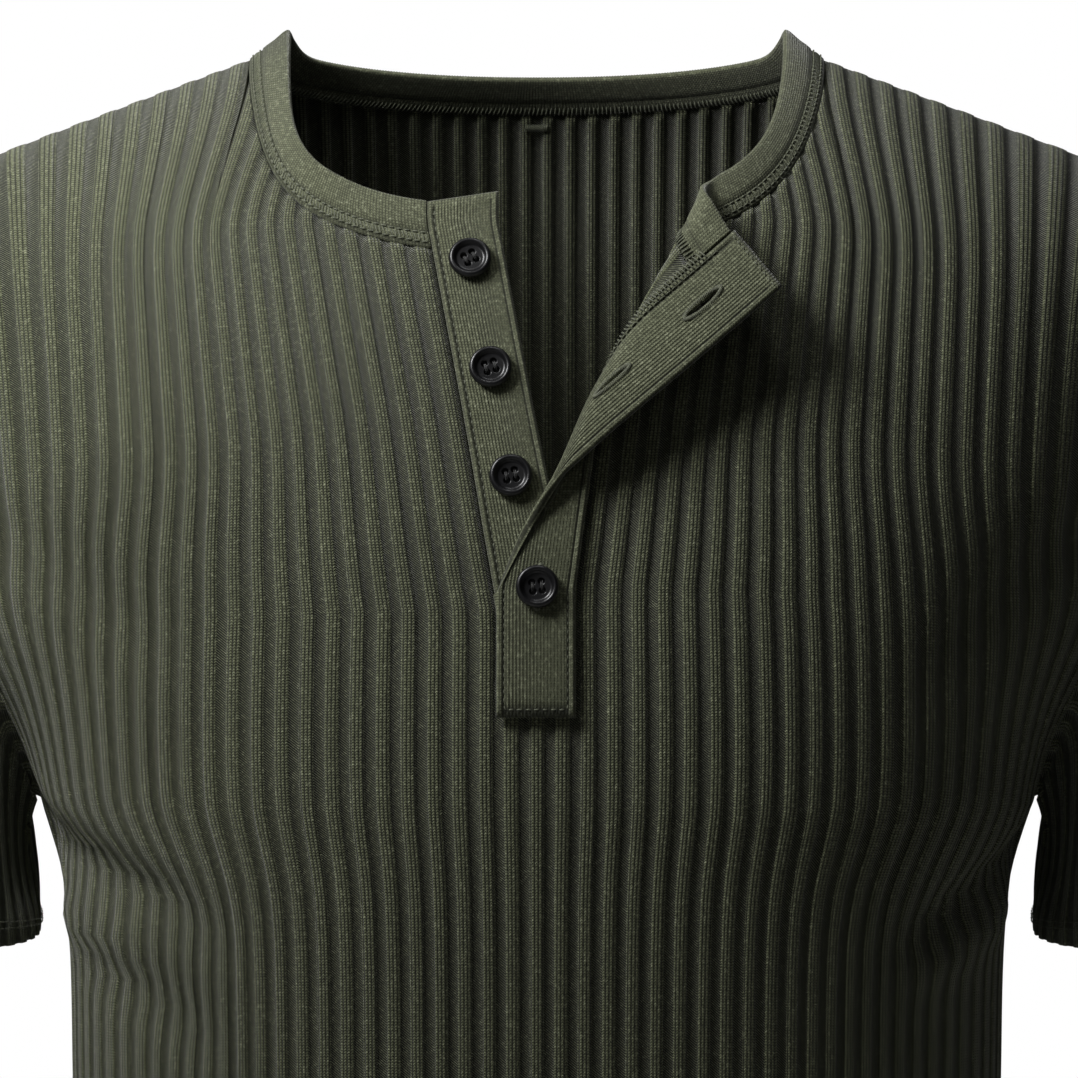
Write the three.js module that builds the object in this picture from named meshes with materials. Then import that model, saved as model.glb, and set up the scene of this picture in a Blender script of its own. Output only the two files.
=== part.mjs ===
// A short-sleeve henley shirt in wide rib knit, worn form, hollow, open at neck, sleeves and hem.
// Millimetres, Z up, the front faces -Y. The origin is midway between the two points where
// shoulder seam and neckline meet.
import * as THREE from 'three';

// Cloth
const RIB_PITCH = 8;
const RIB_TOP_HALF = 2.4;
const PLAIN_WALL = 1.3;
const RIB_WALL = 2.2;
const SEAM_GAP = 0.3;
const BACK_PANEL_RIBS = 57;
const SLEEVE_RIBS = 43;

// Colours
const CLOTH_COLOUR = '#3d4232';
const TRIM_COLOUR = '#454a39';
const BUTTON_COLOUR = '#191a1b';

// Torso levels
const HEM_Z = -690;
const UNDERARM_Z = -245;
const SHOULDER_SLOPE = 0.384;
const NECK_HALF_WIDTH = 96;
const RIDGE_ROUNDING = 30;
const DOME_POWER = 1.8;
const GIRTH_POWER = 2.5;

// Panel outline, measured across the ribs from the centre line
const PANEL_HALF = (BACK_PANEL_RIBS * RIB_PITCH) / 2;
const TIP_RIB = 188;
const NECK_RIB = 100;
const ARMHOLE_CORNER = 0.45;
const ARMHOLE_POWER = 0.8;
const NECK_DROP = { front: 66, back: 14 };
const NECK_POWER = { front: 1.85, back: 2.4 };
const SHOULDER_STRETCH = 0.94;
const TIP_STRETCH = 26;

// Placket
const SLOT_HALF = 12.4;
const SLOT_FOOT_Z = -205;
const PLACKET_FOOT_Z = -215;
const PLACKET_TOP_Z = -48;
const PLACKET_WALL = 2.2;
const PLACKET_LIFT = PLACKET_WALL + SEAM_GAP;

// The upper placket is open and rolls over to its own side about this line, as u and z
const ROLL_FOOT = { u: -13, z: -177 };
const ROLL_HEAD = { u: 42, z: -57 };
const ROLL_RADIUS = 6;
const ROLL_RADIUS_GAIN = 0.008;
const ROLL_TURN = (168 * Math.PI) / 180;

// Neckband and buttons
const BAND_HEIGHT = 16;
const BAND_WALL = 2.4;
// The band leans inwards to this place, and lies flat on the front up to FLAT_BAND from the slot
const BAND_CENTRE_Y = -12;
const FLAT_BAND = 34;
const FLAT_BAND_FADE = 30;
const BUTTON_RADIUS = 6.9;
const BUTTON_THICKNESS = 3;
const BUTTON_SIDES = 16;
const BUTTON_LEVELS = [-69, -104, -138.5, -174];

// Half width and depth of the torso below the underarm
const TRUNK = [
  { z: HEM_Z, width: 160, front: 110, back: 108 },
  { z: -560, width: 154, front: 106, back: 101 },
  { z: -450, width: 150, front: 104, back: 97 },
  { z: -340, width: 154.5, front: 112, back: 104 },
  { z: UNDERARM_Z, width: 163, front: 118, back: 112 },
];

// Torso section above the underarm, by height as a part of the way to the ridge: half width of the
// ribs' own section, and of the wider section that they pass over to
const YOKE = [
  { height: 0, width: 163, wide: 190 },
  { height: 0.2, width: 170, wide: 191 },
  { height: 0.4, width: 188, wide: 193 },
  { height: 0.6, width: 206, wide: 200 },
  { height: 0.8, width: 224, wide: 213 },
  { height: 1, width: 240, wide: 235 },
];

const clamp = (value, low, high) => Math.min(Math.max(value, low), high);
const smooth = (value) => {
  const t = clamp(value, 0, 1);
  return t * t * (3 - 2 * t);
};
const mix = (a, b, t) => a + (b - a) * t;
const vector = (x, y, z) => new THREE.Vector3(x, y, z);

// Reads a column of a table at a place between its rows, with soft changes of slope.
function read(table, key, place, column) {
  const last = table.length - 1;
  const at = clamp(place, table[0][key], table[last][key]);
  let i = 0;
  while (i < last - 1 && at > table[i + 1][key]) i += 1;
  const slope = (k) => {
    const a = Math.max(k - 1, 0);
    const b = Math.min(k + 1, last);
    return (table[b][column] - table[a][column]) / (table[b][key] - table[a][key]);
  };
  const span = table[i + 1][key] - table[i][key];
  const t = (at - table[i][key]) / span;
  const [t2, t3] = [t * t, t * t * t];
  return (
    (2 * t3 - 3 * t2 + 1) * table[i][column] +
    (t3 - 2 * t2 + t) * span * slope(i) +
    (3 * t2 - 2 * t3) * table[i + 1][column] +
    (t3 - t2) * span * slope(i + 1)
  );
}

// Shares of the half width and of the depth at each share of the way round a quarter of the torso section.
const QUARTER = (() => {
  const { width, front } = TRUNK[TRUNK.length - 1];
  const steps = 400;
  const rows = [{ way: 0, across: 0, deep: 1 }];
  let [x0, y0, way] = [0, front, 0];
  for (let i = 1; i <= steps; i += 1) {
    const angle = (Math.PI / 2) * (i / steps);
    const x = width * Math.sin(angle) ** (2 / GIRTH_POWER);
    const y = front * Math.max(Math.cos(angle), 0) ** (2 / GIRTH_POWER);
    way += Math.hypot(x - x0, y - y0);
    rows.push({ way, across: x / width, deep: y / front });
    [x0, y0] = [x, y];
  }
  return rows.map((row) => ({ ...row, way: row.way / way }));
})();

function quarterAt(way, column) {
  let [low, high] = [0, QUARTER.length - 1];
  while (high - low > 1) {
    const middle = (low + high) >> 1;
    if (QUARTER[middle].way < way) low = middle;
    else high = middle;
  }
  const t = (way - QUARTER[low].way) / (QUARTER[high].way - QUARTER[low].way);
  return mix(QUARTER[low][column], QUARTER[high][column], clamp(t, 0, 1));
}

const ridgeLength = (x) => Math.hypot(x, RIDGE_ROUNDING);
const ridge = (x) => -SHOULDER_SLOPE * (ridgeLength(x) - ridgeLength(NECK_HALF_WIDTH));

// Where the rib at u stands sideways, at a height as a part of the way from underarm to ridge.
function sideways(u, height) {
  const width = read(YOKE, 'height', height, 'width');
  const trunk = width * quarterAt(Math.abs(u) / PANEL_HALF, 'across');
  const tip = TIP_STRETCH * (Math.abs(u) / TIP_RIB) ** 5 * height * height;
  const yoke = SHOULDER_STRETCH * Math.abs(u) + tip;
  return Math.sign(u) * mix(trunk, yoke, smooth(height / 0.5));
}

// Both fronts stand open at the neck: the shift to either side grows upwards from the placket foot.
function opening(u, z) {
  const fade = 1 - smooth((Math.abs(u) - 20) / 170);
  const rise = u < 0 ? { from: -182, rate: -0.19 } : { from: -175, rate: 0.145 };
  const climb = Math.max(Math.min(z, -56) - rise.from, 0);
  return rise.rate * climb * fade;
}

// A level runs from -1 at the hem over 0 at the underarm to 1 on the shoulder ridge.
const heightOf = (level) => Math.sin((Math.PI / 2) * level) ** (2 / DOME_POWER);
const levelOf = (height) => Math.asin(clamp(height, 0, 1) ** (DOME_POWER / 2)) / (Math.PI / 2);

// The inner face of the cloth. The side is front or back.
function bodyPoint(side, u, level) {
  const facing = side === 'front' ? -1 : 1;
  const way = Math.abs(u) / PANEL_HALF;
  if (level <= 0) {
    const z = UNDERARM_Z + level * (UNDERARM_Z - HEM_Z);
    const x = Math.sign(u) * read(TRUNK, 'z', z, 'width') * quarterAt(way, 'across');
    const deep = read(TRUNK, 'z', z, side) * quarterAt(way, 'deep');
    return vector(x, facing * (deep + SEAM_GAP / 2), z);
  }
  const height = heightOf(level);
  const x = sideways(u, height);
  const z = UNDERARM_Z + height * (ridge(x) - UNDERARM_Z);
  const wide = read(YOKE, 'height', height, 'wide');
  const lobe = Math.max(1 - (Math.abs(x) / wide) ** GIRTH_POWER, 0) ** (1 / GIRTH_POWER);
  const share = mix(quarterAt(way, 'deep'), lobe, smooth(height / 0.5));
  const dome = Math.max(Math.cos((Math.PI / 2) * level), 0) ** (2 / DOME_POWER);
  const deep = TRUNK[TRUNK.length - 1][side] * dome * share;
  const shift = side === 'front' ? opening(u, z) * (1 - smooth((height - 0.72) / 0.28)) : 0;
  return vector(x + shift, facing * (deep + SEAM_GAP / 2), z);
}

function bodyNormal(side, u, level) {
  const step = 0.004;
  const [u0, u1] = [Math.max(u - 1, -PANEL_HALF), Math.min(u + 1, PANEL_HALF)];
  const [l0, l1] = [Math.max(level - step, -1), Math.min(level + step, 1)];
  const across = bodyPoint(side, u1, level).sub(bodyPoint(side, u0, level));
  const up = bodyPoint(side, u, l1).sub(bodyPoint(side, u, l0));
  const normal = across.cross(up).normalize();
  return side === 'front' ? normal : normal.negate();
}

// The level at which the rib at u passes height z.
function levelAt(u, z) {
  if (z <= UNDERARM_Z) return (z - UNDERARM_Z) / (UNDERARM_Z - HEM_Z);
  let height = (z - UNDERARM_Z) / -UNDERARM_Z;
  for (let i = 0; i < 12; i += 1) {
    height = (z - UNDERARM_Z) / (ridge(sideways(u, clamp(height, 0, 1))) - UNDERARM_Z);
  }
  return levelOf(height);
}

// Points of the right front, in the picture, roll over outwards left of the roll line.
const rollLine = (() => {
  const run = { u: ROLL_HEAD.u - ROLL_FOOT.u, z: ROLL_HEAD.z - ROLL_FOOT.z };
  const length = Math.hypot(run.u, run.z);
  return { u: run.u / length, z: run.z / length };
})();

function frontPoint(u, z, lift, rolls) {
  const du = u - ROLL_FOOT.u;
  const dz = z - ROLL_FOOT.z;
  const past = -(du * rollLine.z - dz * rollLine.u);
  if (!rolls || past <= 0 || dz <= 0) {
    const level = levelAt(u, z);
    const point = bodyPoint('front', u, level);
    // the under placket and the lower end of the upper one open with their own front
    const shift = rolls === (u > 0) || Math.abs(u) > SLOT_HALF ? 0 : opening(rolls ? 1 : -1, z) - opening(u, z);
    point.x += shift;
    return point.addScaledVector(bodyNormal('front', u, level), lift);
  }
  const along = du * rollLine.u + dz * rollLine.z;
  const place = (way) => {
    const line = { u: ROLL_FOOT.u + rollLine.u * way, z: ROLL_FOOT.z + rollLine.z * way };
    const level = levelAt(line.u, line.z);
    const point = bodyPoint('front', line.u, level);
    if (line.u < 0) point.x += opening(1, line.z) - opening(line.u, line.z);
    return { point, normal: bodyNormal('front', line.u, level) };
  };
  const { point, normal } = place(along);
  const direction = place(along + 2).point.sub(place(along - 2).point).normalize();
  const tangent = direction.cross(normal).normalize();
  const radius = ROLL_RADIUS + ROLL_RADIUS_GAIN * along;
  const turn = Math.min(past / radius, ROLL_TURN);
  const rest = past - radius * turn;
  const side = -radius * Math.sin(turn) - rest * Math.cos(turn);
  const out = radius * (1 - Math.cos(turn)) + rest * Math.sin(turn);
  const face = tangent.clone().multiplyScalar(Math.sin(turn)).addScaledVector(normal, Math.cos(turn));
  return point.addScaledVector(tangent, side).addScaledVector(normal, out).addScaledVector(face, lift);
}

// Collects corners and faces and closes them into one mesh, faces outward.
class Solid {
  constructor() {
    this.points = [];
    this.faces = [];
  }

  add(point) {
    this.points.push(point);
    return this.points.length - 1;
  }

  face(a, b, c, turned = false) {
    this.faces.push(turned ? [a, c, b] : [a, b, c]);
  }

  // Fills between two chains of corners, always moving on along the chain whose next key is lower.
  fill(left, right, turned) {
    let [i, j] = [0, 0];
    while (i < left.ids.length - 1 || j < right.ids.length - 1) {
      const leftNext = i < left.ids.length - 1 ? left.keys[i + 1] : Infinity;
      const rightNext = j < right.ids.length - 1 ? right.keys[j + 1] : Infinity;
      if (leftNext <= rightNext) {
        this.face(left.ids[i], right.ids[j], left.ids[i + 1], turned);
        i += 1;
      } else {
        this.face(left.ids[i], right.ids[j], right.ids[j + 1], turned);
        j += 1;
      }
    }
  }

  keyed(ids) {
    const keys = [0];
    for (let i = 1; i < ids.length; i += 1) {
      keys.push(keys[i - 1] + this.points[ids[i]].distanceTo(this.points[ids[i - 1]]));
    }
    const whole = keys[keys.length - 1] || 1;
    return { ids, keys: keys.map((key) => key / whole) };
  }

  // Closes the edge between an outer and an inner boundary chain, both counter-clockwise from outside.
  rim(outerIds, innerIds) {
    this.fill(this.keyed(innerIds), this.keyed(outerIds), true);
  }

  mesh(name, colour) {
    const volume = this.faces.reduce((sum, [a, b, c]) => {
      const cross = this.points[b].clone().cross(this.points[c]);
      return sum + this.points[a].dot(cross);
    }, 0);
    const faces = volume < 0 ? this.faces.map(([a, b, c]) => [a, c, b]) : this.faces;
    const geometry = new THREE.BufferGeometry();
    const flat = this.points.flatMap((point) => [point.x, point.y, point.z]);
    geometry.setAttribute('position', new THREE.Float32BufferAttribute(flat, 3));
    geometry.setIndex(faces.flat());
    geometry.computeVertexNormals();
    const material = new THREE.MeshStandardMaterial({ color: colour, roughness: 0.9 });
    const made = new THREE.Mesh(geometry, material);
    made.name = name;
    return made;
  }
}

// Rib section: two corners on the flat top, one in the groove. Wall thickness by place across the rib.
const RIB_CORNERS = [
  { place: -RIB_TOP_HALF, wall: RIB_WALL },
  { place: RIB_TOP_HALF, wall: RIB_WALL },
  { place: RIB_PITCH / 2, wall: PLAIN_WALL },
];

function panelRibColumns() {
  const columns = [{ u: -PANEL_HALF, wall: PLAIN_WALL }];
  for (let rib = 0; rib < BACK_PANEL_RIBS; rib += 1) {
    const centre = (rib - (BACK_PANEL_RIBS - 1) / 2) * RIB_PITCH;
    for (const corner of RIB_CORNERS) columns.push({ u: centre + corner.place, wall: corner.wall });
  }
  return columns;
}

// Columns of corners across the part of the front that rolls over
const ROLL_COLUMNS = [SLOT_HALF, 16, 20, 24, 28, 32, 36, 40, 44];
const PLAIN_NECK = [20, 28, 36, 44, 52, 60, 68, 76, 84, 90.4, 93.6, 98.4, NECK_RIB];
const PLAIN_SHOULDER = [116, 132, 148, 164, 176, TIP_RIB];

function panelPlainColumns(middle, rolls) {
  const armhole = panelRibColumns().map((column) => column.u).filter((u) => u > TIP_RIB + 0.1);
  const left = [...PLAIN_NECK, ...PLAIN_SHOULDER, ...armhole].map((u) => -u).reverse();
  const neck = rolls ? [...ROLL_COLUMNS.slice(1), ...PLAIN_NECK.filter((u) => u > ROLL_REACH)] : PLAIN_NECK;
  return [...left, ...middle, ...neck, ...PLAIN_SHOULDER, ...armhole].map((u) => ({ u, wall: 0 }));
}

const mixed = (from, to, count) => Array.from({ length: count }, (_, i) => mix(from, to, i / (count - 1)));

// Heights of the corners along the slot, shared by the panel and both plackets
const SLOT_ROWS = mixed(SLOT_FOOT_Z, -72, 20);
const slotRows = (stride) => SLOT_ROWS.filter((_, i) => i % stride === 0);
const ROLL_REACH = 45;

// Levels of the rows, as a part of the way up
const TRUNK_ROWS = [-1, -0.68, -0.36, 0];
const YOKE_ROWS = [0.14, 0.28, 0.42, 0.56, 0.7, 0.85, 1];

function neckHeight(side, u) {
  const power = NECK_POWER[side];
  return -NECK_DROP[side] * Math.max(1 - (Math.abs(u) / NECK_RIB) ** power, 0) ** (1 / power);
}

function columnTop(side, u) {
  const size = Math.abs(u);
  if (size > TIP_RIB + 0.01) {
    const share = clamp((size - TIP_RIB) / (PANEL_HALF - TIP_RIB), 0, 1);
    const height = ARMHOLE_CORNER * Math.max(1 - share ** ARMHOLE_POWER, 0) ** (1 / ARMHOLE_POWER);
    return levelOf(height);
  }
  if (size >= NECK_RIB - 0.01) return 1;
  if (side === 'front' && size < SLOT_HALF - 0.01) return levelAt(u, SLOT_FOOT_Z);
  return levelAt(u, neckHeight(side, u));
}

const near = (a, b) => Math.abs(a - b) < 0.01;

// Makes one face of a panel as columns of corners from hem to top edge.
function panelColumns(solid, side, layout) {
  return layout.map(({ u, wall }) => {
    const top = columnTop(side, u);
    const marks = [];
    if (near(Math.abs(u), TIP_RIB)) marks.push(levelOf(ARMHOLE_CORNER));
    if (side === 'front' && near(Math.abs(u), SLOT_HALF)) marks.push(levelAt(u, SLOT_FOOT_Z));
    let plain = [...TRUNK_ROWS, ...YOKE_ROWS];
    const besideSlot = side === 'front' && Math.abs(u) > SLOT_HALF - 0.01 && u < ROLL_REACH && u > -SLOT_HALF - 0.01;
    if (besideSlot) {
      const slot = slotRows(u > 0 ? 1 : 3).map((z) => levelAt(u, z));
      marks.push(...slot.filter((level) => level < top - 0.004 && marks.every((mark) => Math.abs(level - mark) > 0.004)));
      plain = plain.filter((row) => row < slot[0] - 0.02);
    }
    const rows = plain
      .filter((row) => row < top - 0.02 && marks.every((mark) => Math.abs(row - mark) > 0.02))
      .concat(marks, top)
      .sort((a, b) => a - b);
    const ids = rows.map((level) => {
      if (side === 'back' || u <= 0 || level <= 0 || u > ROLL_REACH) {
        const point = bodyPoint(side, u, level);
        return solid.add(point.addScaledVector(bodyNormal(side, u, level), wall));
      }
      const height = heightOf(level);
      const z = UNDERARM_Z + height * (ridge(sideways(u, height)) - UNDERARM_Z);
      return solid.add(frontPoint(u, z, wall, true));
    });
    const step = marks.length ? rows.indexOf(marks[0]) : -1;
    return { u, ids, keys: rows, step, topId: ids[ids.length - 1] };
  });
}

const cut = (column, count) => ({ ids: column.ids.slice(0, count), keys: column.keys.slice(0, count) });

function fillPanelFace(solid, columns, turned) {
  for (let i = 0; i < columns.length - 1; i += 1) {
    const [a, b] = [columns[i], columns[i + 1]];
    const between = Math.abs(a.u + b.u) / 2;
    const stepped =
      (a.step >= 0 || b.step >= 0) && (between > TIP_RIB || (between < SLOT_HALF && a.u * b.u > -200));
    const left = stepped && a.step >= 0 ? cut(a, a.step + 1) : a;
    const right = stepped && b.step >= 0 ? cut(b, b.step + 1) : b;
    solid.fill(left, right, turned);
  }
}

function panelBoundary(columns, side) {
  const index = (u) => columns.findIndex((column) => near(column.u, u));
  const tops = (from, to) => {
    const list = [];
    const stride = from < to ? 1 : -1;
    for (let i = from; i !== to + stride; i += stride) list.push(columns[i].topId);
    return list;
  };
  const last = columns.length - 1;
  const [tipL, tipR] = [index(-TIP_RIB), index(TIP_RIB)];
  const [neckL, neckR] = [index(-NECK_RIB), index(NECK_RIB)];
  const upTip = (i) => columns[i].ids.slice(columns[i].step);
  const sections = [
    columns.map((column) => column.ids[0]),
    columns[last].ids,
    [...tops(last, tipR + 1), columns[tipR].ids[columns[tipR].step]],
    upTip(tipR),
    tops(tipR, neckR),
  ];
  if (side === 'front') {
    const [slotL, slotR] = [index(-SLOT_HALF), index(SLOT_HALF)];
    sections.push(
      tops(neckR, slotR),
      columns[slotR].ids.slice(columns[slotR].step).reverse(),
      [columns[slotR].ids[columns[slotR].step], ...tops(slotR - 1, slotL + 1), columns[slotL].ids[columns[slotL].step]],
      columns[slotL].ids.slice(columns[slotL].step),
      tops(slotL, neckL),
    );
  } else {
    sections.push(tops(neckR, neckL));
  }
  sections.push(
    tops(neckL, tipL),
    upTip(tipL).reverse(),
    [columns[tipL].ids[columns[tipL].step], ...tops(tipL - 1, 0)],
    [...columns[0].ids].reverse(),
  );
  return sections;
}

function buildPanel(name, side) {
  const solid = new Solid();
  let ribbed = panelRibColumns();
  let middle = [-12, 0, 12];
  if (side === 'front') {
    ribbed = ribbed.map((column) =>
      near(Math.abs(column.u), 12) ? { u: Math.sign(column.u) * SLOT_HALF, wall: PLAIN_WALL } : column,
    );
    middle = [-SLOT_HALF, -4, 4, SLOT_HALF];
  }
  const outer = panelColumns(solid, side, ribbed);
  const inner = panelColumns(solid, side, panelPlainColumns(middle, side === 'front'));
  fillPanelFace(solid, outer, false);
  fillPanelFace(solid, inner, true);
  const [outside, inside] = [panelBoundary(outer, side), panelBoundary(inner, side)];
  outside.forEach((section, i) => solid.rim(section, inside[i]));
  return solid.mesh(name, CLOTH_COLOUR);
}

// Sleeve on the picture's right. The ring at its hem
const SLEEVE_HEM = { x: 222, y: 3, z: -284, across: 50, deep: 60 };
const SLEEVE_AXIS = vector(Math.sin((9 * Math.PI) / 180), 0, -Math.cos((9 * Math.PI) / 180));
const HEM_OUT = vector(0.996, 0, 0.087);
const HEM_BACK = vector(0, 0.993, 0.12);
const SLEEVE_ROWS = [0, 0.07, 0.18, 0.38, 0.66, 1];
// Clear of the panels also where the ribs' tops stand proud of the seam
const SLEEVE_GAP = 1;
// The sleeve leaves the armhole square to its edge, pushed outwards: by height over the underarm,
// which counts in full from CAP_RISE, and by pulls in parts of the length of the way to the hem.
const CAP_RISE = 150;
const UNDERARM_PUSH = 0.9;
const CROWN_PUSH = 0.35;
const CROWN_SHARE = 0.75;
const UNDERARM_PULL = 58;
const CAP_PULL = 0.75;
const HEM_PULL = 0.9;

// Corners of the armhole edge, from the underarm up the front and down the back.
function armholeLoop() {
  const lower = panelRibColumns().filter((column) => column.u > TIP_RIB + 0.1).reverse();
  const corner = levelOf(ARMHOLE_CORNER);
  const upper = [corner, ...YOKE_ROWS.filter((row) => row > corner + 0.02)];
  const edge = [
    ...lower.map(({ u, wall }) => ({ u, wall, level: columnTop('front', u) })),
    ...upper.map((level) => ({ u: TIP_RIB, wall: PLAIN_WALL, level })),
  ];
  const corners = (side) =>
    edge.map(({ u, wall, level }) => {
      const inner = bodyPoint(side, u, level);
      const normal = bodyNormal(side, u, level);
      return { inner, normal, outer: inner.clone().addScaledVector(normal, wall) };
    });
  const loop = [...corners('front'), ...corners('back').reverse()];
  loop.forEach((at, i) => {
    const after = loop[(i + 1) % loop.length].inner;
    const before = loop[(i + loop.length - 1) % loop.length].inner;
    const run = after.clone().sub(before).normalize();
    at.away = run.cross(at.normal).normalize();
    const hem = vector(SLEEVE_HEM.x, SLEEVE_HEM.y, SLEEVE_HEM.z);
    const plane = HEM_OUT.clone().cross(HEM_BACK).normalize();
    const travel = hem.clone().sub(at.inner).dot(plane) / SLEEVE_AXIS.dot(plane);
    const flat = at.inner.clone().addScaledVector(SLEEVE_AXIS, travel).sub(hem);
    at.angle = Math.atan2(flat.dot(HEM_BACK) / SLEEVE_HEM.deep, flat.dot(HEM_OUT) / SLEEVE_HEM.across);
  });
  return loop;
}

function buildSleeve(name, mirror) {
  const loop = armholeLoop();
  const turnFrom = (angle) => (((angle - loop[0].angle) % (2 * Math.PI)) + 2 * Math.PI) % (2 * Math.PI);
  const sense = turnFrom(loop[3].angle) < Math.PI ? 1 : -1;
  const ways = loop.map((at) => (sense > 0 ? turnFrom(at.angle) : (2 * Math.PI - turnFrom(at.angle)) % (2 * Math.PI)));
  const solid = new Solid();

  // Start of the sleeve on the armhole edge at a share of the way round the hem ring.
  const start = (share) => {
    const way = share * 2 * Math.PI;
    let i = 0;
    while (i < loop.length - 1 && ways[i + 1] <= way) i += 1;
    const next = (i + 1) % loop.length;
    const end = next === 0 ? 2 * Math.PI : ways[next];
    const t = clamp((way - ways[i]) / Math.max(end - ways[i], 1e-6), 0, 1);
    const blend = (key) => loop[i][key].clone().lerp(loop[next][key], t);
    return { inner: blend('inner'), outer: blend('outer'), away: blend('away').normalize(), normal: blend('normal') };
  };

  const path = (share, v) => {
    const from = start(share);
    const angle = loop[0].angle + sense * share * 2 * Math.PI;
    const end = vector(SLEEVE_HEM.x, SLEEVE_HEM.y, SLEEVE_HEM.z)
      .addScaledVector(HEM_OUT, SLEEVE_HEM.across * Math.cos(angle))
      .addScaledVector(HEM_BACK, SLEEVE_HEM.deep * Math.sin(angle));
    const begin = from.inner.clone().addScaledVector(from.away, SLEEVE_GAP);
    const cap = smooth((begin.z - UNDERARM_Z) / CAP_RISE);
    const length = begin.distanceTo(end);
    const leave = from.away.clone().multiplyScalar(mix(1, CROWN_SHARE, Math.sin(Math.PI * cap)));
    leave.x += mix(UNDERARM_PUSH, 0, cap) + CROWN_PUSH * Math.sin(Math.PI * cap);
    leave.normalize().multiplyScalar(mix(UNDERARM_PULL, CAP_PULL * length, cap));
    const arrive = SLEEVE_AXIS.clone().multiplyScalar(length * HEM_PULL);
    const [v2, v3] = [v * v, v * v * v];
    return begin
      .multiplyScalar(2 * v3 - 3 * v2 + 1)
      .addScaledVector(leave, v3 - 2 * v2 + v)
      .addScaledVector(end, 3 * v2 - 2 * v3)
      .addScaledVector(arrive, v3 - v2);
  };

  const corner = (share, v, wall) => {
    const from = start(share);
    if (v === 0) {
      const base = wall > 0 ? from.outer : from.inner;
      return base.addScaledVector(from.away, SLEEVE_GAP);
    }
    const step = 0.004;
    const round = path(share + step, v).sub(path(share - step, v));
    const down = path(share, Math.min(v + 0.03, 1)).sub(path(share, v - 0.03));
    const normal = down.cross(round).normalize().multiplyScalar(sense);
    return path(share, v).addScaledVector(normal, wall);
  };

  const columns = (layout) =>
    layout.map(({ share, wall }) => ({
      ids: SLEEVE_ROWS.map((v) => {
        const point = corner(share, v, wall);
        if (mirror) point.x = -point.x;
        return solid.add(point);
      }),
      keys: SLEEVE_ROWS,
    }));
  const ribs = [];
  const plain = [];
  for (let rib = 0; rib < SLEEVE_RIBS; rib += 1) {
    plain.push({ share: rib / SLEEVE_RIBS, wall: 0 });
    for (const { place, wall } of [{ place: 0, wall: PLAIN_WALL }, { place: 0.2, wall: RIB_WALL }, { place: 0.8, wall: RIB_WALL }]) {
      ribs.push({ share: (rib + place) / SLEEVE_RIBS, wall });
    }
  }
  const outer = columns(ribs);
  const inner = columns(plain);
  outer.forEach((column, i) => solid.fill(column, outer[(i + 1) % outer.length], false));
  inner.forEach((column, i) => solid.fill(column, inner[(i + 1) % inner.length], true));
  const ring = (list, row) => [...list, list[0]].map((column) => column.ids[row]);
  const foot = SLEEVE_ROWS.length - 1;
  solid.rim(ring(outer, 0), ring(inner, 0));
  solid.rim(ring(inner, foot), ring(outer, foot));
  return solid.mesh(name, CLOTH_COLOUR);
}

// A strip with an inner and an outer grid of corners, closed all round.
function buildStrip(name, colour, rows, columns, place) {
  const solid = new Solid();
  const grid = (outside) =>
    columns.map((across) => ({
      ids: rows.map((row) => solid.add(place(across, row, outside))),
      keys: rows,
    }));
  const outer = grid(true);
  const inner = grid(false);
  for (let i = 0; i < columns.length - 1; i += 1) {
    solid.fill(outer[i], outer[i + 1], false);
    solid.fill(inner[i], inner[i + 1], true);
  }
  const last = columns.length - 1;
  const around = (list) => [
    list.map((column) => column.ids[0]),
    list[last].ids,
    list.map((column) => column.ids[rows.length - 1]).reverse(),
    [...list[0].ids].reverse(),
  ];
  const inside = around(inner);
  around(outer).forEach((section, i) => solid.rim(section, inside[i]));
  return solid.mesh(name, colour);
}

function buildUnderPlacket() {
  const edge = SLOT_HALF - SEAM_GAP;
  const rows = [SLOT_FOOT_Z + SEAM_GAP, ...slotRows(3).slice(1), -64, PLACKET_TOP_Z];
  return buildStrip('button_placket', TRIM_COLOUR, rows, mixed(-edge, edge, 4), (u, z, outside) => {
    const slant = z === PLACKET_TOP_Z ? 1.7 * (u / edge) : 0;
    return frontPoint(u, z + slant, outside ? PLACKET_WALL : 0, false);
  });
}

function buildUpperPlacket() {
  const right = SLOT_HALF - SEAM_GAP;
  const left = -SLOT_HALF - SEAM_GAP;
  const rows = [PLACKET_FOOT_Z, ...SLOT_ROWS, -65, -57, PLACKET_TOP_Z];
  return buildStrip('buttonhole_placket', TRIM_COLOUR, rows, mixed(left, right, 8), (u, z, outside) => {
    const lift = PLACKET_LIFT * (1 - smooth((z + 138) / 28));
    return frontPoint(u, z, lift + (outside ? PLACKET_WALL : 0), true);
  });
}

// Neckband stations: from the left slot edge round the back to the right slot edge.
function bandStations() {
  const front = [...ROLL_COLUMNS, ...PLAIN_NECK.filter((u) => u > ROLL_REACH)];
  const back = [98.4, 93.6, 90.4, 84, 76, 60, 44, 28, 12];
  return [
    ...[SLOT_HALF, ...PLAIN_NECK].map((u) => ({ side: 'front', u: -u })),
    ...back.map((u) => ({ side: 'back', u: -u })),
    { side: 'back', u: 0 },
    ...[...back].reverse().map((u) => ({ side: 'back', u })),
    ...[...front].reverse().map((u) => ({ side: 'front', u })),
  ];
}

// Lean of the band above level: flat at the shoulder, steeper at the front and back.
const BAND_LEAN = { front: 66, shoulder: 31, back: 44 };

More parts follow.
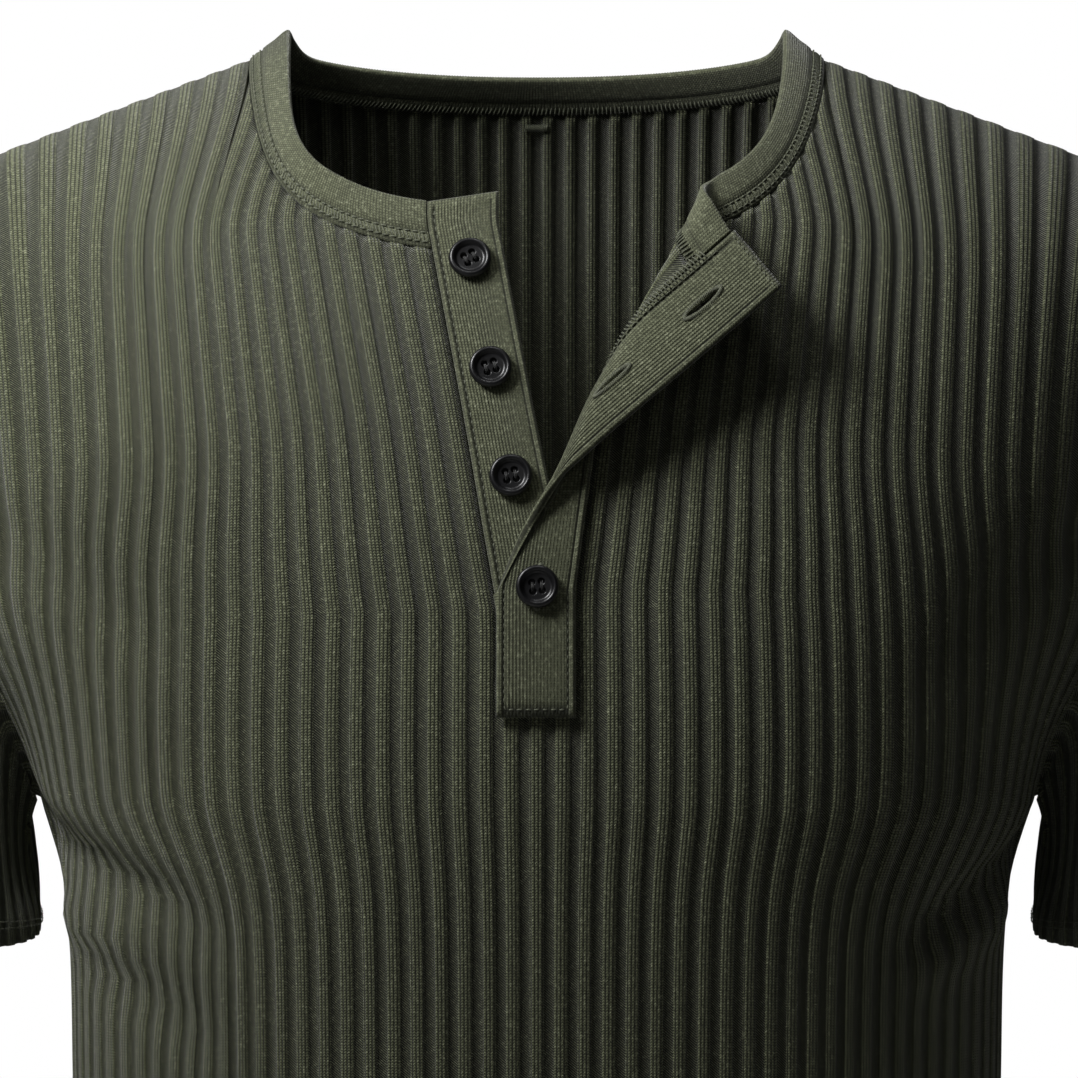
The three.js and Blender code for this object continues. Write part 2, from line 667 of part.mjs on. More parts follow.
function buildNeckband() {
  const stations = bandStations().map(({ side, u }) => {
    const z = neckHeight(side, u);
    const level = Math.abs(u) > NECK_RIB - 0.01 ? 1 : levelAt(u, z);
    const base = side === 'front' ? frontPoint(u, z, 0, u > 0) : bodyPoint(side, u, level);
    const normal =
      side === 'front'
        ? frontPoint(u, z, 1, u > 0).sub(base).normalize()
        : bodyNormal(side, u, level);
    const steep = Math.abs(z) / NECK_DROP[side];
    const lean = (mix(BAND_LEAN.shoulder, BAND_LEAN[side], smooth(steep)) * Math.PI) / 180;
    const inward = vector(-base.x, BAND_CENTRE_Y - base.y, 0).normalize();
    const rise = inward.multiplyScalar(Math.cos(lean)).add(vector(0, 0, Math.sin(lean)));
    return { side, u, z, base, normal, rise };
  });
  const profile = [
    { way: SEAM_GAP + 0.05, out: 0 },
    { way: 7, out: 0 },
    { way: BAND_HEIGHT - 0.6, out: 0 },
    { way: BAND_HEIGHT, out: 0.5 },
    { way: BAND_HEIGHT - 0.6, out: 1 },
    { way: 7, out: 1 },
    { way: SEAM_GAP + 0.05, out: 1 },
  ];
  const solid = new Solid();
  const rings = stations.map((at, i) => {
    const before = stations[Math.max(i - 1, 0)].base;
    const after = stations[Math.min(i + 1, stations.length - 1)].base;
    const run = after.clone().sub(before).normalize();
    const out = run.clone().cross(at.rise).normalize();
    if (out.dot(at.normal) < 0) out.negate();
    const flatRise = at.rise.clone().addScaledVector(at.normal, -at.rise.dot(at.normal)).normalize();
    const rolled = at.side === 'front' ? 1 - smooth((Math.abs(at.u) - FLAT_BAND) / FLAT_BAND_FADE) : 0;
    return profile.map(({ way, out: share }) => {
      const atSeam = way < 1;
      const direction = atSeam ? flatRise : at.rise;
      const face = atSeam ? at.normal : out;
      const cone = at.base.clone().addScaledVector(direction, way).addScaledVector(face, share * BAND_WALL);
      if (rolled <= 0) return cone;
      const onFront = frontPoint(at.u, at.z + way, share * BAND_WALL, at.u > 0);
      return cone.lerp(onFront, rolled);
    });
  });
  const ids = rings.map((ring) => ring.map((point) => solid.add(point)));
  const around = (ring) => [...ring, ring[0]];
  for (let i = 0; i < ids.length - 1; i += 1) {
    const [a, b] = [around(ids[i]), around(ids[i + 1])];
    for (let k = 0; k < profile.length; k += 1) {
      solid.face(a[k], b[k], b[k + 1]);
      solid.face(a[k], b[k + 1], a[k + 1]);
    }
  }
  const closeEnd = (ring, turned) => {
    solid.face(ring[0], ring[1], ring[6], turned);
    solid.face(ring[1], ring[5], ring[6], turned);
    solid.face(ring[1], ring[2], ring[5], turned);
    solid.face(ring[2], ring[4], ring[5], turned);
    solid.face(ring[2], ring[3], ring[4], turned);
  };
  closeEnd(ids[0], false);
  closeEnd(ids[ids.length - 1], true);
  return solid.mesh('neckband', TRIM_COLOUR);
}

// Button section: radius and height over its foot
const BUTTON_SECTION = [
  { radius: 0.62, height: 0 },
  { radius: 0.95, height: 0.25 },
  { radius: 1, height: 0.6 },
  { radius: 0.9, height: 1 },
  { radius: 0.74, height: 1 },
  { radius: 0.6, height: 0.62 },
];

function buildButton(name, z, onUpper) {
  const lift = (onUpper ? PLACKET_LIFT : 0) + PLACKET_WALL + SEAM_GAP;
  const foot = frontPoint(0.01 * (onUpper ? 1 : -1), z, lift, onUpper);
  const axis = frontPoint(0.01 * (onUpper ? 1 : -1), z, lift + 1, onUpper).sub(foot).normalize();
  const right = vector(0, 0, 1).cross(axis).normalize();
  const up = axis.clone().cross(right).normalize();
  const solid = new Solid();
  const rings = BUTTON_SECTION.map(({ radius, height }) =>
    Array.from({ length: BUTTON_SIDES }, (_, i) => {
      const angle = (i / BUTTON_SIDES) * 2 * Math.PI;
      return solid.add(
        foot
          .clone()
          .addScaledVector(right, BUTTON_RADIUS * radius * Math.cos(angle))
          .addScaledVector(up, BUTTON_RADIUS * radius * Math.sin(angle))
          .addScaledVector(axis, BUTTON_THICKNESS * height),
      );
    }),
  );
  for (let k = 0; k < rings.length - 1; k += 1) {
    for (let i = 0; i < BUTTON_SIDES; i += 1) {
      const j = (i + 1) % BUTTON_SIDES;
      solid.face(rings[k][i], rings[k][j], rings[k + 1][j]);
      solid.face(rings[k][i], rings[k + 1][j], rings[k + 1][i]);
    }
  }
  const under = solid.add(foot.clone());
  const over = solid.add(foot.clone().addScaledVector(axis, BUTTON_THICKNESS * BUTTON_SECTION[5].height));
  for (let i = 0; i < BUTTON_SIDES; i += 1) {
    const j = (i + 1) % BUTTON_SIDES;
    solid.face(under, rings[0][j], rings[0][i]);
    solid.face(over, rings[rings.length - 1][i], rings[rings.length - 1][j]);
  }
  return solid.mesh(name, BUTTON_COLOUR);
}

const shirt = new THREE.Group();
shirt.name = 'henley_shirt';
shirt.add(
  buildPanel('front_panel', 'front'),
  buildPanel('back_panel', 'back'),
  buildSleeve('sleeve_left', false),
  buildSleeve('sleeve_right', true),
  buildNeckband(),
  buildUnderPlacket(),
  buildUpperPlacket(),
);
BUTTON_LEVELS.forEach((z, i) => shirt.add(buildButton(`button_${i + 1}`, z, i === BUTTON_LEVELS.length - 1)));

export default shirt;
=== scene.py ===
"""A short-sleeve henley shirt in wide rib knit, in its worn form, with nobody in it.

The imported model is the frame, in metres, Z up, front towards -Y. The sizes below are in millimetres,
as a cutter notes them. `u` counts millimetres of flat cloth across the ribs from the centre line, and
`z` is the height below the neck point at the shoulder.
"""

import logging
import math
from dataclasses import dataclass
from enum import Enum
from typing import Callable, Sequence

import bmesh
import bpy
import numpy as np
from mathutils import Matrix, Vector


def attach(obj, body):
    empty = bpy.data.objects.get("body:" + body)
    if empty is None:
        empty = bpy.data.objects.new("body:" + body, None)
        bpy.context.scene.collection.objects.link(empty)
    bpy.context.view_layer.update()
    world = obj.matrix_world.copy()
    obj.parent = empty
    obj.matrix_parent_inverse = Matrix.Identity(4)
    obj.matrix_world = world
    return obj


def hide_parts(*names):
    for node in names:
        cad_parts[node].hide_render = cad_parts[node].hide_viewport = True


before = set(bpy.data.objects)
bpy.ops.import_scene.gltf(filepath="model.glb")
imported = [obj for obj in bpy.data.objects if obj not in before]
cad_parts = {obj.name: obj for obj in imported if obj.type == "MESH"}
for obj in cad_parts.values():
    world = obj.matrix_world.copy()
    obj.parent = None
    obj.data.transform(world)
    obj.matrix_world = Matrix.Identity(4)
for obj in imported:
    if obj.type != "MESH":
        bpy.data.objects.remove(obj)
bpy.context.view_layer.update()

LOG = logging.getLogger("henley")
METRES = 0.001

Array = np.ndarray
Surface = Callable[[Array, Array, Array], Array]


class Side(Enum):
    """The two body panels, with the sign of the way that each faces along Y."""

    FRONT = -1
    BACK = 1


class Lap(Enum):
    """Whether a front lies flat on the body or rolls over outwards at its edge."""

    FLAT = 0
    ROLLED = 1


def smooth(value: Array) -> Array:
    """Soft step from 0 to 1: three times the square less twice the cube of the clamped value."""
    t = np.clip(value, 0.0, 1.0)
    return t * t * (3.0 - 2.0 * t)


def mix(a: Array, b: Array, t: Array) -> Array:
    """Straight blend from a to b."""
    return a + (b - a) * t


def unit(vectors: Array) -> Array:
    """Vectors brought to length 1."""
    return vectors / np.maximum(np.linalg.norm(vectors, axis=-1, keepdims=True), 1e-9)


def bell(distance: Array, width: float) -> Array:
    """Bell curve: e to the minus square of distance over width."""
    return np.exp(-np.square(distance / width))


@dataclass(frozen=True)
class TrunkRow:
    """Half width and depths of the torso at one height below the underarm."""

    z: float
    width: float
    front: float
    back: float


@dataclass(frozen=True)
class YokeRow:
    """Half widths at one height above the underarm, as a part of the way to the shoulder ridge."""

    height: float
    width: float
    wide: float


TRUNK = (
    TrunkRow(z=-690.0, width=160.0, front=110.0, back=108.0),
    TrunkRow(z=-560.0, width=154.0, front=106.0, back=101.0),
    TrunkRow(z=-450.0, width=150.0, front=104.0, back=97.0),
    TrunkRow(z=-340.0, width=152.0, front=112.0, back=104.0),
    TrunkRow(z=-275.0, width=154.5, front=116.5, back=109.0),
    TrunkRow(z=-245.0, width=163.0, front=118.0, back=112.0),
)
YOKE = (
    YokeRow(height=0.0, width=163.0, wide=190.0),
    YokeRow(height=0.2, width=170.0, wide=191.0),
    YokeRow(height=0.4, width=188.0, wide=193.0),
    YokeRow(height=0.6, width=206.0, wide=200.0),
    YokeRow(height=0.8, width=224.0, wide=213.0),
    YokeRow(height=1.0, width=240.0, wide=235.0),
)


def read_rows(rows: Sequence, key: str, place: Array, column: str) -> Array:
    """Reads a column of a table between its rows.

    Formula: a cubic between two rows whose slope at each row is that of the line through its
    neighbours.

    Args:
        rows: the table, sorted by its key.
        key: name of the column that places are given in.
        place: places to read at.
        column: name of the column to read.

    Returns:
        One value for each place.
    """
    keys = np.array([getattr(row, key) for row in rows])
    values = np.array([getattr(row, column) for row in rows])
    low = np.maximum(np.arange(len(keys)) - 1, 0)
    high = np.minimum(np.arange(len(keys)) + 1, len(keys) - 1)
    slopes = (values[high] - values[low]) / (keys[high] - keys[low])
    at = np.clip(place, keys[0], keys[-1])
    i = np.searchsorted(keys[1:-1], at, side="left")
    span = keys[i + 1] - keys[i]
    t = (at - keys[i]) / span
    t2, t3 = t * t, t * t * t
    return (
        (2 * t3 - 3 * t2 + 1) * values[i]
        + (t3 - 2 * t2 + t) * span * slopes[i]
        + (3 * t2 - 2 * t3) * values[i + 1]
        + (t3 - t2) * span * slopes[i + 1]
    )


@dataclass(frozen=True)
class Crease:
    """One soft fold of the cloth, from one place to another on the flat panel.

    A trough has a negative depth and a ridge a positive one.
    """

    side: Side
    u0: float
    z0: float
    u1: float
    z1: float
    width: float
    depth: float
    bend: float = 0.0

    def at(self, u: Array, z: Array) -> Array:
        """Height of the fold: depth times a bell across it times a soft start and end along it."""
        du, dz = self.u1 - self.u0, self.z1 - self.z0
        length = math.hypot(du, dz)
        along = ((u - self.u0) * du + (z - self.z0) * dz) / length**2
        off = ((u - self.u0) * dz - (z - self.z0) * du) / length
        off = off + self.bend * np.sin(math.pi * np.clip(along, 0.0, 1.0))
        ends = smooth((along + 0.2) / 0.45) * smooth((1.2 - along) / 0.45)
        return self.depth * bell(off, self.width) * ends


CREASES = (
    Crease(Side.FRONT, u0=-226, z0=-248, u1=-118, z1=-282, width=9, depth=-5.0, bend=3),
    Crease(Side.FRONT, u0=-205, z0=-280, u1=-150, z1=-294, width=7, depth=3.2, bend=1),
    Crease(Side.FRONT, u0=-186, z0=-292, u1=-120, z1=-318, width=8, depth=-3.0, bend=2),
    Crease(Side.FRONT, u0=224, z0=-254, u1=140, z1=-286, width=8, depth=-4.4, bend=-3),
    Crease(Side.FRONT, u0=200, z0=-278, u1=140, z1=-300, width=7, depth=3.0, bend=-1),
    Crease(Side.FRONT, u0=-196, z0=-150, u1=-120, z1=-196, width=11, depth=-2.4, bend=4),
    Crease(Side.FRONT, u0=196, z0=-146, u1=128, z1=-202, width=11, depth=-2.4, bend=-4),
    Crease(Side.FRONT, u0=-210, z0=-452, u1=-60, z1=-486, width=16, depth=-4.0, bend=7),
    Crease(Side.FRONT, u0=214, z0=-430, u1=84, z1=-470, width=14, depth=-3.4, bend=-6),
    Crease(Side.FRONT, u0=-190, z0=-498, u1=-96, z1=-520, width=12, depth=2.6, bend=3),
    Crease(Side.FRONT, u0=180, z0=-520, u1=60, z1=-556, width=15, depth=-2.8, bend=5),
    Crease(Side.BACK, u0=-218, z0=-262, u1=-130, z1=-300, width=10, depth=-4.2, bend=4),
    Crease(Side.BACK, u0=220, z0=-256, u1=120, z1=-304, width=11, depth=-4.4, bend=-4),
    Crease(Side.BACK, u0=-150, z0=-150, u1=-70, z1=-210, width=14, depth=-2.4, bend=5),
    Crease(Side.BACK, u0=160, z0=-160, u1=76, z1=-216, width=13, depth=-2.2, bend=-5),
    Crease(Side.BACK, u0=-200, z0=-420, u1=40, z1=-452, width=17, depth=-5.0, bend=9),
    Crease(Side.BACK, u0=206, z0=-446, u1=20, z1=-492, width=16, depth=-4.6, bend=-8),
    Crease(Side.BACK, u0=-170, z0=-474, u1=-10, z1=-506, width=14, depth=3.2, bend=5),
    Crease(Side.BACK, u0=-214, z0=-528, u1=-80, z1=-566, width=13, depth=-3.0, bend=4),
)


@dataclass(frozen=True)
class ShirtForm:
    """Sizes of the shirt in millimetres, and the surfaces that follow from them."""

    rib_pitch: float = 8.0
    panel_ribs: int = 57
    hem_z: float = -690.0
    underarm_z: float = -245.0
    shoulder_slope: float = 0.384
    neck_half_width: float = 96.0
    ridge_rounding: float = 30.0
    dome_power: float = 1.8
    girth_power: float = 2.5
    tip_rib: float = 188.0
    neck_rib: float = 100.0
    armhole_corner: float = 0.45
    armhole_power: float = 0.8
    front_neck_drop: float = 66.0
    back_neck_drop: float = 14.0
    front_neck_power: float = 1.85
    back_neck_power: float = 2.4
    shoulder_stretch: float = 0.94
    tip_stretch: float = 26.0
    slot_half: float = 12.4
    slot_foot_z: float = -205.0
    placket_foot_z: float = -215.0
    placket_top_z: float = -48.0
    placket_wall: float = 2.2
    seam_gap: float = 0.3
    roll_foot: tuple = (-13.0, -177.0)
    roll_head: tuple = (42.0, -57.0)
    roll_radius: float = 6.0
    roll_radius_gain: float = 0.008
    roll_turn: float = math.radians(168)
    opening_near: float = 20.0
    opening_run: float = 170.0
    opening_top_z: float = -56.0
    opening_foot_z: tuple = (-182.0, -175.0)
    opening_rate: tuple = (-0.19, 0.145)
    stack_z: float = -138.0
    stack_run: float = 28.0

    @property
    def panel_half(self) -> float:
        """Half the flat width of a panel."""
        return self.panel_ribs * self.rib_pitch / 2

    def depth(self, side: Side) -> float:
        """Depth of the torso at the underarm."""
        return TRUNK[-1].front if side is Side.FRONT else TRUNK[-1].back

    def quarter(self, way: Array, column: int) -> Array:
        """Share of the half width (column 0) or depth (column 1) at a share of the way round.

        Formula: a superellipse with the girth power, walked at equal steps of arc.
        """
        angle = np.linspace(0.0, math.pi / 2, 401)
        x = TRUNK[-1].width * np.sin(angle) ** (2 / self.girth_power)
        y = TRUNK[-1].front * np.maximum(np.cos(angle), 0.0) ** (2 / self.girth_power)
        arc = np.concatenate([[0.0], np.cumsum(np.hypot(np.diff(x), np.diff(y)))])
        values = x / TRUNK[-1].width if column == 0 else y / TRUNK[-1].front
        return np.interp(way, arc / arc[-1], values)

    def ridge(self, x: Array) -> Array:
        """Height of the shoulder ridge: a straight slope, rounded over the neck."""
        run = np.hypot(x, self.ridge_rounding) - math.hypot(self.neck_half_width, self.ridge_rounding)
        return -self.shoulder_slope * run

    def height_of(self, level: Array) -> Array:
        """Part of the way up to the ridge: a quarter sine of the level, to the dome power."""
        return np.sin(math.pi / 2 * np.clip(level, 0.0, 1.0)) ** (2 / self.dome_power)

    def level_of(self, height: Array) -> Array:
        """The level that stands at a height, the other way round."""
        return np.arcsin(np.clip(height, 0.0, 1.0) ** (self.dome_power / 2)) / (math.pi / 2)

    def sideways(self, u: Array, height: Array) -> Array:
        """Where the rib at u stands sideways at a height above the underarm."""
        size = np.abs(u)
        trunk = read_rows(YOKE, "height", height, "width") * self.quarter(size / self.panel_half, 0)
        tip = self.tip_stretch * (size / self.tip_rib) ** 5 * height * height
        return np.sign(u) * mix(trunk, self.shoulder_stretch * size + tip, smooth(height / 0.5))

    def opening(self, u: Array, z: Array) -> Array:
        """Shift of each front to its own side, growing upwards from the placket foot."""
        fade = 1.0 - smooth((np.abs(u) - self.opening_near) / self.opening_run)
        begin = np.where(u < 0, *self.opening_foot_z)
        rate = np.where(u < 0, *self.opening_rate)
        return rate * np.maximum(np.minimum(z, self.opening_top_z) - begin, 0.0) * fade

    def stacked(self, z: Array) -> Array:
        """1 where the upper placket lies on the under one, 0 where it is turned away."""
        return 1.0 - smooth((z - self.stack_z) / self.stack_run)

    def body_point(self, side: Side, u: Array, level: Array) -> Array:
        """Inner face of the cloth.

        Formula: below the underarm the rib keeps its share of the way round a superellipse whose
        half width and depth come from the trunk table; above it the section passes over to a wider
        one and the depth falls as a quarter cosine up to the ridge.

        Args:
            side: front or back.
            u: place across the ribs.
            level: -1 at the hem, 0 at the underarm, 1 on the shoulder ridge.

        Returns:
            Points, with a last axis of x, y and z.
        """
        u, level = np.broadcast_arrays(np.asarray(u, float), np.asarray(level, float))
        way = np.abs(u) / self.panel_half
        across, deep = self.quarter(way, 0), self.quarter(way, 1)
        below = self.underarm_z + np.minimum(level, 0.0) * (self.underarm_z - self.hem_z)
        column = "front" if side is Side.FRONT else "back"
        low_x = np.sign(u) * read_rows(TRUNK, "z", below, "width") * across
        low_y = read_rows(TRUNK, "z", below, column) * deep
        height = self.height_of(level)
        high_x = self.sideways(u, height)
        high_z = self.underarm_z + height * (self.ridge(high_x) - self.underarm_z)
        wide = read_rows(YOKE, "height", height, "wide")
        lobe = np.maximum(1 - (np.abs(high_x) / wide) ** self.girth_power, 0) ** (1 / self.girth_power)
        share = mix(deep, lobe, smooth(height / 0.5))
        dome = np.maximum(np.cos(math.pi / 2 * np.clip(level, 0, 1)), 0) ** (2 / self.dome_power)
        high_y = self.depth(side) * dome * share
        if side is Side.FRONT:
            high_x = high_x + self.opening(u, high_z) * (1.0 - smooth((height - 0.72) / 0.28))
        low = level <= 0
        x = np.where(low, low_x, high_x)
        y = side.value * np.where(low, low_y, high_y)
        return np.stack([x, y, np.where(low, below, high_z)], axis=-1)

    def body_normal(self, side: Side, u: Array, level: Array) -> Array:
        """Outward direction of the cloth, from the cross product of short steps across and up."""
        step = 0.004
        left, right = np.maximum(u - 1.0, -self.panel_half), np.minimum(u + 1.0, self.panel_half)
        down, up = np.maximum(level - step, -1.0), np.minimum(level + step, 1.0)
        across = self.body_point(side, right, level) - self.body_point(side, left, level)
        rise = self.body_point(side, u, up) - self.body_point(side, u, down)
        return -side.value * unit(np.cross(across, rise))

    def level_at(self, u: Array, z: Array) -> Array:
        """Level at which the rib at u passes height z, by repeated correction."""
        u, z = np.broadcast_arrays(np.asarray(u, float), np.asarray(z, float))
        height = (z - self.underarm_z) / -self.underarm_z
        for _ in range(12):
            top = self.ridge(self.sideways(u, np.clip(height, 0.0, 1.0)))
            height = (z - self.underarm_z) / (top - self.underarm_z)
        low = (z - self.underarm_z) / (self.underarm_z - self.hem_z)
        return np.where(z <= self.underarm_z, low, self.level_of(height))

    def body_surface(self, side: Side) -> Surface:
        """The panel as a function of u, z and a lift off its inner face."""

        def place(u: Array, z: Array, lift: Array) -> Array:
            """Point of the cloth at u and z, moved out by lift."""
            level = self.level_at(u, z)
            normal = self.body_normal(side, u, level)
            return self.body_point(side, u, level) + normal * np.asarray(lift)[..., None]

        return place

    def roll_line(self) -> Array:
        """Direction of the roll line on the flat front."""
        return unit(np.array(self.roll_head) - np.array(self.roll_foot))

    def past_roll(self, u: Array, z: Array) -> tuple[Array, Array]:
        """Distance along the roll line and past it, towards the free edge."""
        line = self.roll_line()
        du, dz = u - self.roll_foot[0], z - self.roll_foot[1]
        return du * line[0] + dz * line[1], dz * line[0] - du * line[1]

    def front_point(self, u: Array, z: Array, lift: Array, lap: Lap) -> Array:
        """A front at u and z, moved out by lift, rolled over its line where it is turned out.

        Formula: past the roll line the cloth first turns round a circle, then runs on straight.

        Args:
            u: place across the ribs.
            z: height on the flat front.
            lift: distance off the inner face.
            lap: whether this front rolls.

        Returns:
            Points, with a last axis of x, y and z.
        """
        u, z, lift = np.broadcast_arrays(*(np.asarray(a, float) for a in (u, z, lift)))
        rolls = lap is Lap.ROLLED
        level = self.level_at(u, z)
        flat = self.body_point(Side.FRONT, u, level)
        own = self.opening(np.full_like(u, 1.0 if rolls else -1.0), z)
        other_half = u <= 0 if rolls else u >= 0
        with_front = other_half & (np.abs(u) <= self.slot_half)
        flat[..., 0] += np.where(with_front, own - self.opening(u, z), 0.0)
        flat = flat + self.body_normal(Side.FRONT, u, level) * lift[..., None]
        if not rolls:
            return flat
        along, past = self.past_roll(u, z)
        tangent, normal, base = self._roll_frame(along)
        radius = self.roll_radius + self.roll_radius_gain * along
        turn = np.minimum(np.maximum(past, 0.0) / radius, self.roll_turn)
        rest = past - radius * turn
        side = -radius * np.sin(turn) - rest * np.cos(turn)
        out = radius * (1 - np.cos(turn)) + rest * np.sin(turn)
        face = tangent * np.sin(turn)[..., None] + normal * np.cos(turn)[..., None]
        rolled = base + tangent * side[..., None] + normal * out[..., None] + face * lift[..., None]
        turned = (past > 0) & (z > self.roll_foot[1])
        return np.where(turned[..., None], rolled, flat)

    def _roll_frame(self, along: Array) -> tuple[Array, Array, Array]:
        """Tangent across the roll, outward normal and point of the roll line at a distance along it."""
        line = self.roll_line()

        def place(way: Array) -> tuple[Array, Array, Array]:
            """Point of the roll line with its flat place and level."""
            u = self.roll_foot[0] + line[0] * way
            z = self.roll_foot[1] + line[1] * way
            level = self.level_at(u, z)
            point = self.body_point(Side.FRONT, u, level)
            shift = self.opening(np.ones_like(u), z) - self.opening(u, z)
            point[..., 0] += np.where(u < 0, shift, 0.0)
            return point, u, level

        base, u, level = place(along)
        normal = self.body_normal(Side.FRONT, u, level)
        direction = unit(place(along + 2.0)[0] - place(along - 2.0)[0])
        return unit(np.cross(direction, normal)), normal, base

    def lap_surface(self, lap: Lap) -> Surface:
        """A front as a function of u, z and lift."""
        return lambda u, z, lift: self.front_point(u, z, lift, lap)

    def neck_height(self, side: Side, u: Array) -> Array:
        """Neckline on the flat panel: a superellipse from the neck point down to its drop."""
        front = side is Side.FRONT
        drop = self.front_neck_drop if front else self.back_neck_drop
        power = self.front_neck_power if front else self.back_neck_power
        return -drop * np.maximum(1 - (np.abs(u) / self.neck_rib) ** power, 0) ** (1 / power)

    def armhole_level(self, u: Array) -> Array:
        """Top of a rib that ends on the lower armhole, a hollow curve from corner to underarm."""
        share = np.clip((np.abs(u) - self.tip_rib) / (self.panel_half - self.tip_rib), 0, 1)
        height = np.maximum(1 - share**self.armhole_power, 0) ** (1 / self.armhole_power)
        return self.level_of(self.armhole_corner * height)

    def top_level(self, side: Side, u: Array) -> Array:
        """Level at which each rib of a panel ends, slot apart."""
        size = np.abs(u)
        neck = self.level_at(u, self.neck_height(side, u))
        top = np.where(size < self.neck_rib - 0.01, neck, 1.0)
        return np.where(size > self.tip_rib + 0.01, self.armhole_level(u), top)


FORM = ShirtForm()


def srgb(code: str) -> tuple[float, float, float, float]:
    """Linear colour of an sRGB hex code."""
    parts = [int(code[i : i + 2], 16) / 255 for i in (1, 3, 5)]
    linear = [c / 12.92 if c <= 0.04045 else ((c + 0.055) / 1.055) ** 2.4 for c in parts]
    return (linear[0], linear[1], linear[2], 1.0)


def add_node(tree: bpy.types.NodeTree, kind: str, links: dict | None = None, **settings) -> bpy.types.Node:
    """Adds a node.

    Args:
        tree: the material's or world's nodes.
        kind: the node's type name.
        links: socket of the new node by name or number, to the socket that feeds it or a value.
        settings: attributes of the node.

    Returns:
        The new node.
    """
    node = tree.nodes.new(kind)
    for name, value in settings.items():
        setattr(node, name, value)
    for socket, source in (links or {}).items():
        if isinstance(source, bpy.types.NodeSocket):
            tree.links.new(source, node.inputs[socket])
        else:
            node.inputs[socket].default_value = source
    return node


def maths(tree: bpy.types.NodeTree, operation: str, *values, clamp: bool = False) -> bpy.types.NodeSocket:
    """Result of a Math node on sockets or numbers."""
    links = dict(enumerate(values))
    return add_node(tree, "ShaderNodeMath", links, operation=operation, use_clamp=clamp).outputs[0]


def blend_colour(tree: bpy.types.NodeTree, share, first, second) -> bpy.types.NodeSocket:
    """Colour between two, by share."""
    links = {0: share, 6: first, 7: second}
    return add_node(tree, "ShaderNodeMix", links, data_type="RGBA").outputs[2]


@dataclass(frozen=True)
class KnitYarn:
    """Brushed cotton and polyester yarn: matt, with a weak pale sheen where the light grazes it."""

    light: str
    # The near-black colour is painted shade: it fills the holes between stitches and the grooves, where
    # shade falls.
    painted_hole_shade: str
    fleck: str
    roughness: float = 0.88
    sheen: float = 0.25

    def shader(self, tree: bpy.types.NodeTree, height, relief: float):
        """Links a knit height, 0 in the holes and 1 on the loops, to colour and bump; the colour goes darker
        towards the holes as painted shade.

        Args:
            tree: nodes of the material.
            height: socket with the knit's height.
            relief: depth of the knit in millimetres.
        """
        coords = add_node(tree, "ShaderNodeTexCoord").outputs["Object"]
        heather_size = {"Vector": coords, "Scale": 900.0, "Detail": 2.0}
        heather = add_node(tree, "ShaderNodeTexNoise", heather_size).outputs["Fac"]
        cloud_size = {"Vector": coords, "Scale": 26.0, "Detail": 3.0}
        cloud = add_node(tree, "ShaderNodeTexNoise", cloud_size).outputs["Fac"]
        # Painted shade: the colour runs from the near-black to the light yarn colour with the knit height,
        # so holes and grooves are painted darker; the heather noise adds real random tone.
        painted_light_and_heather = maths(tree, "MULTIPLY", height, maths(tree, "MULTIPLY_ADD", heather, 1.5, 0.25), clamp=True)
        yarn = blend_colour(tree, painted_light_and_heather, srgb(self.painted_hole_shade), srgb(self.light))
        flecks = maths(tree, "MULTIPLY", maths(tree, "SUBTRACT", heather, 0.56), 4.0, clamp=True)
        yarn = blend_colour(tree, maths(tree, "MULTIPLY", flecks, painted_light_and_heather), yarn, srgb(self.fleck))
        shade = maths(tree, "MULTIPLY_ADD", cloud, 0.36, 0.82)
        scaled = {0: yarn, "Scale": shade}
        worn = add_node(tree, "ShaderNodeVectorMath", scaled, operation="SCALE").outputs[0]
        rough = maths(tree, "MULTIPLY_ADD", heather, 0.2, height)
        bump = add_node(
            tree, "ShaderNodeBump", {"Height": rough, "Distance": relief * METRES, "Strength": 1.0}
        ).outputs[0]
        surface = {
            "Base Color": worn,
            "Normal": bump,
            "Roughness": self.roughness,
            "Sheen Weight": self.sheen,
            "Sheen Roughness": 0.5,
            "Specular IOR Level": 0.25,
        }
        shaded = add_node(tree, "ShaderNodeBsdfPrincipled", surface).outputs[0]
        add_node(tree, "ShaderNodeOutputMaterial", {0: shaded})


def new_material(name: str) -> tuple[bpy.types.Material, bpy.types.NodeTree]:
    """An empty node material."""
    material = bpy.data.materials.new(name)
    material.use_nodes = True
    material.node_tree.nodes.clear()
    return material, material.node_tree


def flat_place(tree: bpy.types.NodeTree):
    """Sockets with the millimetres across and along the cloth, from the piece's UV map."""
    place = add_node(tree, "ShaderNodeUVMap", uv_map="cloth").outputs[0]
    apart = add_node(tree, "ShaderNodeSeparateXYZ", {0: place})
    return apart.outputs[0], apart.outputs[1]


def wave(tree: bpy.types.NodeTree, phase):
    """Sine wave of a phase in turns, brought between 0 and 1."""
    sine = maths(tree, "SINE", maths(tree, "MULTIPLY", phase, 2 * math.pi))
    return maths(tree, "MULTIPLY_ADD", sine, 0.5, 0.5)


def plait(tree: bpy.types.NodeTree, across, along, wale: float, course: float):
    """Knit stitches: each wale is a round column crossed by V loops.

    Formula: one less the square of the distance from the wale's middle, times a wave along the
    column that lags behind towards both sides.

    Args:
        tree: nodes of the material.
        across: millimetres across the wales.
        along: millimetres along them.
        wale: width of a wale in millimetres.
        course: height of a stitch in millimetres.

    Returns:
        Socket with the height, 0 to 1.
    """
    turn = maths(tree, "FRACT", maths(tree, "MULTIPLY_ADD", across, 1 / wale, 0.5))
    off = maths(tree, "ABSOLUTE", maths(tree, "MULTIPLY_ADD", turn, 2.0, -1.0))
    column = maths(tree, "SUBTRACT", 1.0, maths(tree, "POWER", off, 2.2))
    lag = maths(tree, "MULTIPLY_ADD", along, 1 / course, maths(tree, "MULTIPLY", off, 0.55))
    loops = maths(tree, "MULTIPLY_ADD", wave(tree, lag), 0.7, 0.3)
    return maths(tree, "MULTIPLY", column, loops)


